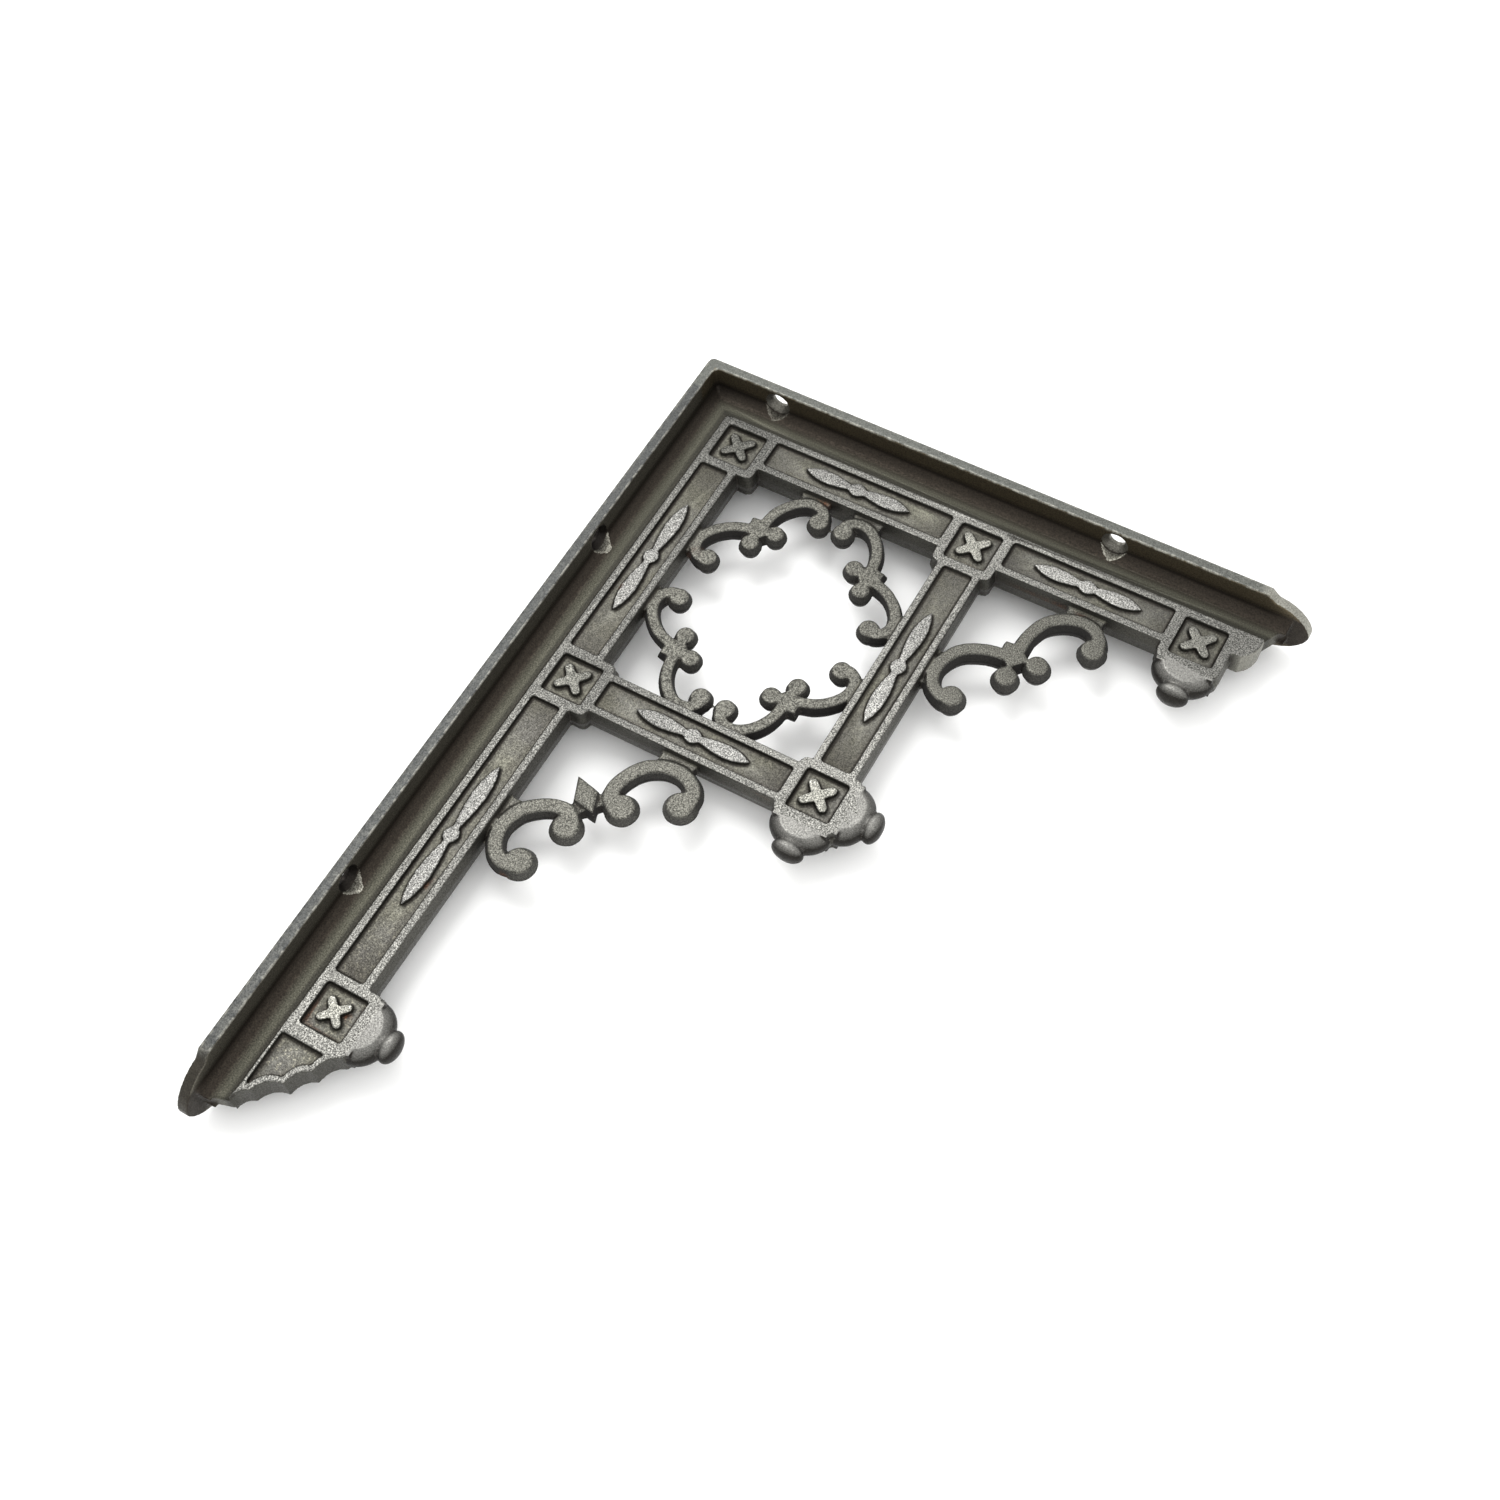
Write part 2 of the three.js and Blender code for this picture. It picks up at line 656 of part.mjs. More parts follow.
// The scroll beside the lower half of the wall arm, with its lozenge and clasp.
function makeWallScroll(left, top) {
  const turn = THREE.MathUtils.degToRad(wallScrollTurn);
  const open = [Math.cos(turn), -Math.sin(turn)];
  const knot = [blockC[0] + wallScrollKnotRight, blockC[1] - wallScrollKnotDrop];
  const [upper, lower] = wallPadDown;
  const [near, far] = wallPadAlong;
  const place = ([u, v]) => [knot[0] + u * open[0] - v * open[1], knot[1] + u * open[1] + v * open[0]];
  const lozenge = [
    [-lozengeBack, 0],
    [lozengeWaist, lozengeHalfWidth],
    [lozengeTip, 0],
    [lozengeWaist, -lozengeHalfWidth],
  ];
  const clasp = [
    [claspFront, claspHalfWidth],
    [claspBack, claspHalfWidth],
    [claspBack, -claspHalfWidth],
    [claspFront, -claspHalfWidth],
  ];
  return joined([
    makeScroll(wallScroll, knot, open[0], open[1]),
    makePad([left - padBite, knot[1] - lower], [left + wallPadReach, knot[1] - upper]),
    makePad([knot[0] + near, top - wallPadReach], [knot[0] + far, top + padBite]),
    centredSlab(lozenge.map(place), lozengeThick),
    centredSlab(clasp.map(place), claspThick),
  ]);
}

function makeBracket() {
  let web = makeWeb();
  web = web.add(makePendant(blockE, [0, -1]));
  web = web.add(makePendant(blockD, [0, -1]));
  web = web.add(makePendant(blockD, [1, 0]));
  web = web.add(makePendant(blockF, [1, 0]));
  let casting = cutScrewHoles(makeStrips()).add(carveWeb(web));
  const armEdge = blockA[0] + armInnerEdge;
  const armUnder = blockA[1] - armInnerEdge;
  casting = casting.add(makeRing(armEdge, blockB[0] - barHalf, blockC[1] + barHalf, armUnder));
  casting = casting.add(makeShelfScroll(blockB[0] + barHalf, armUnder));
  casting = casting.add(makeWallScroll(armEdge, blockC[1] - barHalf));
  return roundOuterCorner(casting);
}

function meshOf(solid, name, material) {
  const mesh = solid.getMesh();
  const geometry = new THREE.BufferGeometry();
  geometry.setAttribute('position', new THREE.BufferAttribute(Float32Array.from(mesh.vertProperties), 3));
  geometry.setIndex(new THREE.BufferAttribute(Uint32Array.from(mesh.triVerts), 1));
  geometry.computeVertexNormals();
  const body = new THREE.Mesh(geometry, material);
  body.name = name;
  return body;
}

const castIron = new THREE.MeshStandardMaterial({ name: 'cast_iron', color: 0x6f706b });
castIron.metalness = 0.8;
castIron.roughness = 0.6;

const bracket = new THREE.Group();
bracket.name = 'ornate_shelf_bracket';
bracket.add(meshOf(makeBracket(), 'shelf_bracket', castIron));

export default bracket;
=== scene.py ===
# %% [markdown]
# # An ornate cast iron shelf bracket
# The bracket is one sand casting: two flat strips that screw to a wall and to a shelf, a pierced
# web between them, and scrolls in the open cells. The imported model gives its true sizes. This
# lesson gives it what a sand mould gives: tapered walls, soft edges, a grainy skin and a little
# rust. It is modelled as it hangs, with the wall face at x = 0 and the carved side facing -Y.

# %% Load the frame
import math

import bmesh
import bpy
import numpy as np
from mathutils import Matrix, Vector, noise


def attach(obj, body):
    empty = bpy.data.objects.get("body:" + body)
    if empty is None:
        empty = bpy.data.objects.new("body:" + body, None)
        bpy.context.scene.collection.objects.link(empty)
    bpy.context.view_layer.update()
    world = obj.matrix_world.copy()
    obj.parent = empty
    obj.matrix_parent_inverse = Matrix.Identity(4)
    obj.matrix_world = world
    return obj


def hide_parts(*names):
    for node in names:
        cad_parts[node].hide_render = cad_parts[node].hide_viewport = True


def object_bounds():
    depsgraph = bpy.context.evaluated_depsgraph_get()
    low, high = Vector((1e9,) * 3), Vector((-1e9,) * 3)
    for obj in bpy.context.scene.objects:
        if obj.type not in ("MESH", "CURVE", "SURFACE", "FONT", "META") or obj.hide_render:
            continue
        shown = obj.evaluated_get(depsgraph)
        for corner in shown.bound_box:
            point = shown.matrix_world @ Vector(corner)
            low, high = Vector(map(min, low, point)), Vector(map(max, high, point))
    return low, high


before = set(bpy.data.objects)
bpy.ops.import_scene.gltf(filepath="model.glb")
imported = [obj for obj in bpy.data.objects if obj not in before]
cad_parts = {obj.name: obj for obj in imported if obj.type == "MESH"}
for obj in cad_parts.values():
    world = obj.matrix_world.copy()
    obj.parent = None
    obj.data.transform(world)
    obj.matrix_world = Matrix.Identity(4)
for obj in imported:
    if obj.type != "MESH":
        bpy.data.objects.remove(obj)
cad_box = [list(corner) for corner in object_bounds()]
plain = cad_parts["shelf_bracket"]
print("plain casting:", len(plain.data.polygons), "faces, box", cad_box)

# %% [markdown]
# ## Camera
# The photograph looks down at the bracket, which lies on its side on white paper. The bracket
# stands upright in the model, so the camera is rolled instead. Its place was found by matching
# the corners of the blocks and strips, and three directions say how it is turned.

# %% Camera
MM = 0.001
camera_place = Vector((258.51, -530.81, -228.18)) * MM
camera_right = Vector((0.86686, 0.04505, 0.49651))
camera_up = Vector((-0.40968, -0.50314, 0.76092))
camera_back = camera_right.cross(camera_up)

camera_data = bpy.data.cameras.new("camera")
camera_data.lens = 48
camera_data.sensor_width = 36
camera_data.clip_start = 0.02
camera_data.clip_end = 20
camera = bpy.data.objects.new("camera", camera_data)
turn = Matrix((camera_right, camera_up, camera_back)).transposed().to_4x4()
camera.matrix_world = Matrix.Translation(camera_place) @ turn
bpy.context.scene.collection.objects.link(camera)
bpy.context.scene.camera = camera
print("camera stands", round(camera_place.length, 3), "m from the origin")

# %% [markdown]
# ## The plain casting, opened up
# A sand mould can't be lifted off a straight wall, so every wall of the real web leans in
# towards its face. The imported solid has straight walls. Its scrolls and pendants are cut away
# here with boxes, to be made again with that lean. The copy's loose triangles are merged first,
# because a cut needs a closed surface.

# %% Copy the plain casting
def object_from(bm, name):
    """A new object from a bmesh that is in millimetres."""
    bmesh.ops.scale(bm, vec=(MM, MM, MM), verts=bm.verts)
    mesh = bpy.data.meshes.new(name)
    bm.to_mesh(mesh)
    bm.free()
    thing = bpy.data.objects.new(name, mesh)
    bpy.context.scene.collection.objects.link(thing)
    return thing


def apply_modifiers(thing):
    """Puts the result of an object's modifiers in its mesh."""
    graph = bpy.context.evaluated_depsgraph_get()
    mesh = bpy.data.meshes.new_from_object(thing.evaluated_get(graph))
    old = thing.data
    thing.modifiers.clear()
    thing.data = mesh
    bpy.data.meshes.remove(old)


body = bmesh.new()
body.from_mesh(plain.data)
bmesh.ops.remove_doubles(body, verts=body.verts, dist=1e-6)
bmesh.ops.scale(body, vec=(1 / MM, 1 / MM, 1 / MM), verts=body.verts)
print("merged copy:", len(body.verts), "vertices,", "closed" if all(e.is_manifold for e in body.edges) else "open")
casting = object_from(body, "shelf_bracket_casting")

# %% Sizes that the cuts and the new shapes share
TOP = 150.0
BLOCK_HALF = 10.4
ARM_EDGE = 5.0
BAR_HALF = 7.5
A = Vector((23.4, 126.6))
B = Vector((111.0, 126.6))
E = Vector((189.0, 126.6))
C = Vector((23.4, 22.6))
D = Vector((111.0, 22.6))
F = Vector((23.4, -105.2))
HALF_THICK = 4.6

arm_right = A.x + ARM_EDGE
arm_under = A.y - ARM_EDGE
post_left = B.x - BAR_HALF
post_right = B.x + BAR_HALF
cross_top = C.y + BAR_HALF
cross_under = C.y - BAR_HALF

# Each box is [left, bottom, right, top]. Two overlapping boxes spare the corners of the blocks.
away = [
    [C.x + BLOCK_HALF, cross_top, D.x - BLOCK_HALF, arm_under],
    [arm_right, C.y + BLOCK_HALF, post_left, A.y - BLOCK_HALF],
    [B.x + BLOCK_HALF, 62, 176, arm_under],
    [post_right, 62, 176, B.y - BLOCK_HALF],
    [C.x + BLOCK_HALF, -48, 95, cross_under],
    [arm_right, -48, 95, C.y - BLOCK_HALF],
    [E.x - 14, 85, E.x + 13.4, E.y - BLOCK_HALF],
    [D.x - 14, -15, D.x + BLOCK_HALF, D.y - BLOCK_HALF],
    [D.x + BLOCK_HALF, D.y - 30, D.x + 30, D.y + 14],
    [F.x + BLOCK_HALF, F.y - 14, F.x + 30, F.y + 14],
]
for number, (left, bottom, right, top) in enumerate(away):
    box = bmesh.new()
    bmesh.ops.create_cube(box, size=1)
    bmesh.ops.scale(box, vec=(right - left, 40, top - bottom), verts=box.verts)
    middle = Vector(((left + right) / 2, 0, (bottom + top) / 2))
    bmesh.ops.translate(box, vec=middle, verts=box.verts)
    cutter = object_from(box, f"cutter_{number}")
    cut = casting.modifiers.new("cut", "BOOLEAN")
    cut.operation = "DIFFERENCE"
    cut.solver = "MANIFOLD"
    cut.object = cutter
    apply_modifiers(casting)
    bpy.data.objects.remove(cutter)
print("opened casting:", len(casting.data.polygons), "faces")

# %% [markdown]
# ## Straps and balls of the scrolls
# A scroll is a bent strap that ends in two balls. Both have a narrow flat face and walls that
# widen to the parting line in the middle of the casting. The strap is a six-cornered section that
# is extruded and turned, step by step, along a smooth line. A ball is a profile that is spun
# round. Every shape is a closed body, and all are fused with the casting later.

# %% Closed bodies
extras = bmesh.new()


def keep(body, place=Matrix()):
    """Places a closed body and adds it to the shapes that will be fused."""
    bmesh.ops.remove_doubles(body, verts=body.verts, dist=1e-4)
    bmesh.ops.holes_fill(body, edges=[edge for edge in body.edges if edge.is_boundary])
    bmesh.ops.transform(body, matrix=place, verts=body.verts)
    bmesh.ops.recalc_face_normals(body, faces=body.faces)
    for edge in body.edges:
        assert edge.is_manifold, "a body is open"
    mesh = bpy.data.meshes.new("body")
    body.to_mesh(mesh)
    body.free()
    extras.from_mesh(mesh)
    bpy.data.meshes.remove(mesh)


def through(points, steps):
    """A smooth line through points, with some steps between each pair."""
    points = [Vector(point) for point in points]
    ends = [2 * points[0] - points[1], *points, 2 * points[-1] - points[-2]]
    line = []
    for a, b, c, d in zip(ends, ends[1:], ends[2:], ends[3:]):
        for i in range(steps):
            t = i / steps
            curve = 2 * b + (c - a) * t + (2 * a - 5 * b + 4 * c - d) * t**2
            line.append((curve + (3 * b - a - 3 * c + d) * t**3) / 2)
    return [*line, points[-1]]


def strap(line, face, waist, half, place):
    """Extrudes a drafted section along a line of (along, aside) points."""
    stations = []
    for i, point in enumerate(line):
        ahead = (line[min(i + 1, len(line) - 1)] - line[max(i - 1, 0)]).normalized()
        columns = ((-ahead.y, 0, ahead.x), (0, 1, 0), (ahead.x, 0, ahead.y))
        station = Matrix(columns).transposed().to_4x4()
        stations.append(Matrix.Translation((point.x, 0, point.y)) @ station)
    body = bmesh.new()
    section = [(-waist, 0), (-face, -half), (face, -half), (waist, 0), (face, half), (-face, half)]
    start = [body.verts.new(stations[0] @ Vector((side / 2, depth, 0))) for side, depth in section]
    end = body.faces.new(start)
    for before, after in zip(stations, stations[1:]):
        grown = bmesh.ops.extrude_face_region(body, geom=[end])["geom"]
        bmesh.ops.delete(body, geom=[end], context="FACES_ONLY")
        moved = [g for g in grown if isinstance(g, bmesh.types.BMVert)]
        end = next(g for g in grown if isinstance(g, bmesh.types.BMFace))
        bmesh.ops.transform(body, matrix=after @ before.inverted(), verts=moved)
    keep(body, place)


def spun(profile, steps, place, closed=False):
    """Spins a profile of (radius, depth) points round the casting's depth."""
    body = bmesh.new()
    row = [body.verts.new((radius, depth, 0)) for radius, depth in profile]
    pairs = list(zip(row, row[1:])) + ([(row[-1], row[0])] if closed else [])
    edges = [body.edges.new(pair) for pair in pairs]
    bmesh.ops.spin(
        body, geom=row + edges, cent=(0, 0, 0), axis=(0, 1, 0), dvec=(0, 0, 0),
        angle=math.tau, steps=steps, use_merge=True, use_duplicate=False,
    )
    keep(body, place)


def bar(low, high, place=Matrix()):
    """A straight box between two corners."""
    body = bmesh.new()
    bmesh.ops.create_cube(body, size=1)
    low, high = Vector(low), Vector(high)
    bmesh.ops.scale(body, vec=high - low, verts=body.verts)
    bmesh.ops.translate(body, vec=(low + high) / 2, verts=body.verts)
    keep(body, place)


def drafted(face, waist, half):
    """Half profile of a ball or knot: a flat face, and a wall that widens to the parting line."""
    return [(0, -half), (face, -half), (waist, 0), (face, half), (0, half)]


# %% [markdown]
# A scroll is drawn once, in its own frame: along runs from the knot towards the open side, and
# aside runs across. Each scroll is then placed by its knot and by the direction it opens to, so
# all four in the ring come from one drawing.

# %% The three kinds of scroll
RING = {
    "half": 2.8, "face": 3.4, "waist": 5.2, "wall": 1.1,
    "balls": [(2.9, 4.4, 2.85), (3.5, 19.3, 3.05)],
    "path": [(-0.4, 0.4), (-3, 3.6), (-5.1, 7.4), (-6.1, 11.9), (-5.8, 16.4), (-4, 20),
             (-1, 21.9), (2.1, 21.7), (3.8, 20)],
}
SHELF = {
    "half": 3.4, "face": 3.9, "waist": 6.2, "wall": 1.4,
    "balls": [(5.3, 5.3, 3.35), (6, 23.7, 3.55)],
    "path": [(-0.5, 0.5), (-2.9, 3.3), (-5.4, 6.3), (-7.2, 9.7), (-8.5, 13.5), (-8.5, 17),
             (-7.2, 21.2), (-4.6, 25), (-1.2, 27.1), (2, 27.4), (5, 26.4), (6.3, 24.3)],
}
WALL = {
    "half": 2.9, "face": 4.4, "waist": 6.7, "wall": 1.5,
    "balls": [(8.5, 8.8, 4.1), (14.4, 25.6, 4.2)],
    "path": [(7.9, 6.7), (4, 6.7), (0.9, 9.3), (-1.1, 13.4), (-2, 18), (-1.5, 22),
             (0.6, 26.3), (4.2, 29.6), (8.6, 31.1), (12.6, 30.3), (15.2, 27.5)],
}


def opening(knot, along, down):
    """Places a scroll's own frame: its knot in the web, and the way that it opens."""
    return Matrix((
        (along, 0, -down, knot.x),
        (0, 1, 0, 0),
        (down, 0, along, knot.y),
        (0, 0, 0, 1),
    ))


def scroll(kind, place):
    """Both halves of a scroll."""
    for side in (1, -1):
        line = [Vector((u, v * side)) for u, v in through(kind["path"], 4)]
        strap(line, kind["face"], kind["waist"], kind["half"], place)
        for u, v, face in kind["balls"]:
            profile = drafted(face, face + kind["wall"], kind["half"])
            spun(profile, 28, place @ Matrix.Translation((u, 0, v * side)))


def knot_square(kind, half_width, back, place):
    """The small square on the back of a knot: a profile spun in only four steps."""
    corner = math.sqrt(2)
    profile = drafted(half_width * corner, (half_width + 0.9) * corner, kind["half"])
    spun(profile, 4, place @ Matrix.Translation((-back, 0, 0)))
    link = half_width * 1.25
    bar((-half_width / 2, -kind["half"], -link), (half_width, kind["half"], link), place)


def pad(left, bottom, right, top):
    """A patch of thinner web that ties a strap to the bar beside it."""
    bar((left, -2.2, bottom), (right, 2.2, top))


# %% The ring in the corner cell
ring_turn = math.radians(40.7)
ring_middle = Vector(((arm_right + post_left) / 2, (cross_top + arm_under) / 2 - 0.85))
for sx in (1, -1):
    for sz in (1, -1):
        knot = Vector((ring_middle.x - sx * 19.7, ring_middle.y - sz * 25.8))
        place = opening(knot, sx * math.cos(ring_turn), sz * math.sin(ring_turn))
        scroll(RING, place)
        knot_square(RING, 2.5, 2.5, place)
        edge, inward = (arm_right, 3.2) if sx > 0 else (post_left, -3.2)
        up = knot.y + sz * 12.5
        pad(min(edge - 0.5, edge + inward), up - 5, max(edge + 0.5, edge + inward), up + 5)
        level, inward = (cross_top, 3.2) if sz > 0 else (arm_under, -3.2)
        along = knot.x + sx * 10
        pad(along - 5, min(level - 0.5, level + inward), along + 5, max(level + 0.5, level + inward))
print("ring scrolls:", len(extras.faces), "faces")

# %% The scroll under the shelf arm
shelf_knot = Vector((B.x + 30, B.y - 31.2))
place = opening(shelf_knot, math.cos(math.radians(41)), -math.sin(math.radians(41)))
scroll(SHELF, place)
knot_square(SHELF, 2.8, 2.6, place)
pad(post_right - 0.5, shelf_knot.y - 21, post_right + 4, shelf_knot.y - 8)
pad(shelf_knot.x + 6.5, arm_under - 5.5, shelf_knot.x + 19, arm_under + 0.5)

# %% The scroll beside the wall arm
wall_knot = Vector((C.x + 24.7, C.y - 32.2))
place = opening(wall_knot, math.cos(math.radians(40)), -math.sin(math.radians(40)))
scroll(WALL, place)
pad(arm_right - 0.5, wall_knot.y - 24, arm_right + 5, wall_knot.y - 11)
pad(wall_knot.x + 13, cross_under - 5, wall_knot.x + 25, cross_under + 0.5)
bar((1.9, -2.4, -7.5), (5.6, 2.4, 7.5), place)

# %% [markdown]
# ## The lozenge leaf
# A small pointed leaf clasps the two halves of the lowest scroll. It has four facets that rise
# to a ridge. A profile spun in four steps gives the facets, and its two ends are then stretched
# by different amounts, because its outer point is longer.

# %% The lozenge leaf
leaf = bmesh.new()
profile = [(0, -4.0), (0.82, -3.6), (1, 0), (0.82, 3.6), (0, 4.0)]
row = [leaf.verts.new((radius, depth, 0)) for radius, depth in profile]
edges = [leaf.edges.new(pair) for pair in zip(row, row[1:])]
bmesh.ops.spin(
    leaf, geom=row + edges, cent=(0, 0, 0), axis=(0, 1, 0), dvec=(0, 0, 0),
    angle=math.tau, steps=4, use_merge=True, use_duplicate=False,
)
for vert in leaf.verts:
    vert.co.z *= 4.7
    vert.co.x = 1.2 + vert.co.x * (8.0 if vert.co.x > 0 else 8.9)
keep(leaf, place)

# %% [markdown]
# ## Bud pendants
# Each pendant is a half bud that grows out of a block, with a flattened button on its tip. The
# bud is a ball stretched to the block's width and cut flat where it meets the block's face. The
# neck and the button are balls and cones too, sunk a little into each other.

# %% Bud pendants
def stretched_ball(reach, half_thick, half_width, out, flat, root):
    """A ball stretched along three axes, cut off flat in front and behind and at its root."""
    body = bmesh.new()
    bmesh.ops.create_uvsphere(body, u_segments=40, v_segments=24, radius=1)
    bmesh.ops.scale(body, vec=(reach, half_thick, half_width), verts=body.verts)
    for plane in ((0, flat, 0), (0, -flat, 0), (-root, 0, 0)):
        cut = bmesh.ops.bisect_plane(
            body, geom=body.verts[:] + body.edges[:] + body.faces[:],
            plane_co=plane, plane_no=plane, clear_outer=True,
        )
        rim = [g for g in cut["geom_cut"] if isinstance(g, bmesh.types.BMEdge)]
        bmesh.ops.holes_fill(body, edges=rim)
    bmesh.ops.translate(body, vec=(out, 0, 0), verts=body.verts)
    return body


def pendant(block, along, down):
    """A bud, its neck and its button, growing out of one side of a block."""
    place = opening(block, along, down)
    keep(stretched_ball(8.3, 6.2, 10.3, BLOCK_HALF - 0.3, HALF_THICK, 1.8), place)
    bar((BLOCK_HALF - 2, -HALF_THICK, -9.4), (BLOCK_HALF + 1.2, HALF_THICK, 9.4), place)
    neck = bmesh.new()
    bmesh.ops.create_cone(neck, cap_ends=True, segments=28, radius1=4.6, radius2=3.3, depth=5)
    upright = Matrix.Translation((BLOCK_HALF + 6, 0, 0)) @ Matrix.Rotation(math.radians(90), 4, "Y")
    keep(neck, place @ upright)
    keep(stretched_ball(3.0, 4.6, 5.3, 18.9, HALF_THICK, 2.9), place)


pendant(E, 0, -1)
pendant(D, 0, -1)
pendant(D, 1, 0)
pendant(F, 1, 0)

# %% [markdown]
# ## The lean of the walls
# The walls of the bars and blocks swell by about half a millimetre at the parting line. A long
# three-sided prism along each free wall gives a bar that swelling. A block gets a box with a wider
# waist and rounded corners, thin enough to stay under the floor of the block's recess.

# %% The lean of the walls
SWELL = 0.6


def swelling(start, end):
    """A low ridge along a wall, on the left of the way from start to end."""
    start, end = Vector(start), Vector(end)
    ahead = (end - start).normalized()
    out = Vector((-ahead.y, ahead.x))
    body = bmesh.new()
    corners = [(-1, -4.2), (0, -4.2), (SWELL, 0), (0, 4.2), (-1, 4.2)]
    points = [start + out * side for side, _ in corners]
    section = [body.verts.new((p.x, depth, p.y)) for p, (_, depth) in zip(points, corners)]
    face = body.faces.new(section)
    grown = bmesh.ops.extrude_face_region(body, geom=[face])["geom"]
    far = [g for g in grown if isinstance(g, bmesh.types.BMVert)]
    run = end - start
    bmesh.ops.translate(body, vec=(run.x, 0, run.y), verts=far)
    keep(body)


EDGE = BLOCK_HALF - 1
walls = [
    ((arm_right, A.y - EDGE), (arm_right, C.y + EDGE)),
    ((C.x + EDGE, cross_top), (D.x - EDGE, cross_top)),
    ((post_left, D.y + EDGE), (post_left, B.y - EDGE)),
    ((B.x - EDGE, arm_under), (A.x + EDGE, arm_under)),
    ((E.x - EDGE, arm_under), (B.x + EDGE, arm_under)),
    ((post_right, B.y - EDGE), (post_right, D.y + EDGE)),
    ((D.x - EDGE, cross_under), (C.x + EDGE, cross_under)),
    ((arm_right, C.y - EDGE), (arm_right, F.y + EDGE)),
]
for start, end in walls:
    swelling(start, end)
for block in (A, B, C, D, E, F):
    body = bmesh.new()
    bmesh.ops.create_cube(body, size=1)
    bmesh.ops.scale(body, vec=(2 * BLOCK_HALF, 5.2, 2 * BLOCK_HALF), verts=body.verts)
    across = [edge for edge in body.edges if abs(edge.verts[0].co.y - edge.verts[1].co.y) > 1]
    bmesh.ops.subdivide_edges(body, edges=across, cuts=1)
    waist = [vert for vert in body.verts if abs(vert.co.y) < 0.1]
    swell = 1 + SWELL / BLOCK_HALF
    bmesh.ops.scale(body, vec=(swell, 1, swell), verts=waist)
    across = [edge for edge in body.edges if abs(edge.verts[0].co.y - edge.verts[1].co.y) > 1]
    bmesh.ops.bevel(
        body, geom=across, affect="EDGES", offset=2.2, segments=3, profile=0.5, material=-1)
    keep(body, Matrix.Translation((block.x, 0, block.y)))
print("all added bodies:", len(extras.faces), "faces")

# %% [markdown]
# ## One skin
# The opened casting and the added bodies overlap. A voxel remesh turns them into one closed
# skin, and a few rounds of smoothing soften every edge as molten iron and sand do. The flat parts
# need few triangles, so the skin is then thinned to stay light.

# %% Fuse the bodies
added = object_from(extras, "added")
whole = bmesh.new()
whole.from_mesh(casting.data)
whole.from_mesh(added.data)
bpy.data.objects.remove(added)
whole.to_mesh(casting.data)
whole.free()
skin = casting.modifiers.new("skin", "REMESH")
skin.mode = "VOXEL"
skin.voxel_size = 0.38 * MM
soft = casting.modifiers.new("soft edges", "SMOOTH")
soft.factor = 0.5
soft.iterations = 2
apply_modifiers(casting)
print("skin:", len(casting.data.polygons), "faces")

# %% [markdown]
# ## Where shade and grime gather
# Dark lines run along the foot of every leaf, rail and cross: partly dust and oxide that gather there,
# partly painted shade where the relief meets the floor. They follow the shape, so they are measured on
# it: a copy of the points is smoothed a lot, and where the skin lies below that smoothed copy, it is in
# a hollow. The result is kept as an attribute.

# %% Measure the hollows
def column(items, name, width, kind=np.float32):
    """One property of many items, as an array."""
    values = np.empty(len(items) * width, dtype=kind)
    items.foreach_get(name, values)
    return values.reshape(-1, width) if width > 1 else values


def hollows(mesh, rounds):
    """How far each point lies below a smoothed copy of the skin, in millimetres."""
    points = column(mesh.vertices, "co", 3).astype(np.float64)
    normals = column(mesh.vertices, "normal", 3)
    a, b = column(mesh.edges, "vertices", 2, np.int32).T
    count = np.bincount(a, minlength=len(points)) + np.bincount(b, minlength=len(points))
    smooth = points.copy()
    for _ in range(rounds):
        total = np.empty_like(smooth)
        for k in range(3):
            total[:, k] = np.bincount(a, smooth[b, k], len(points)) + np.bincount(b, smooth[a, k], len(points))
        smooth = total / count[:, None]
    return np.einsum("ij,ij->i", smooth - points, normals) / MM


depth = hollows(casting.data, 5)
# Painted shade, with dust and oxide: the dark lines at the foot of the relief.
shade_and_grime = np.clip((depth - 0.04) / 0.12, 0, 1)
# Sharp outer edges: they carry a painted highlight along the arrises of the strips.
ridge = np.clip((-depth - 0.05) / 0.1, 0, 1)
# Broad hollows, such as round the necks of the pendants: painted shade, with some grime.
valley = np.clip((hollows(casting.data, 26) - 0.08) / 0.5, 0, 1)
places = column(casting.data.vertices, "co", 3) / MM
print("hollows deeper than a tenth of a millimetre:", int((depth > 0.1).sum()), "of", len(depth))

# %% [markdown]
# Rust has begun in a few small places, mostly in corners where moisture stays: beside the ring,
# over the shelf scroll, round the lowest block and under one ball of the wall scroll. Each place
# is a centre and a radius, and the rust fades out from there.

# %% Where rust has begun
rust_places = [
    ((31.5, 0.0, 84.5), 2.8), ((152.0, -1.5, 119.0), 1.7), ((145.5, -1.0, 121.0), 1.3),
    ((41.0, 0.0, -44.5), 1.6), ((22.6, -3.6, -115.0), 1.8), ((113.5, -3.6, 119.8), 1.2),
    ((31.0, -2.5, -99.5), 1.1), ((23.0, -3.0, -58.5), 1.4), ((60.0, -2.0, 121.0), 1.8),
    ((18.0, -4.0, 60.0), 1.2), ((96.0, -2.0, 14.8), 1.6), ((22.4, -3.1, -93.6), 1.6),
    ((27.0, -2.5, -104.0), 1.3), ((17.0, -2.5, -110.5), 1.2),
]
rust = np.zeros(len(places))
for centre, radius in rust_places:
    away_from = np.linalg.norm(places - np.array(centre), axis=1)
    rust = np.maximum(rust, np.clip(1.25 - away_from / radius, 0, 1))
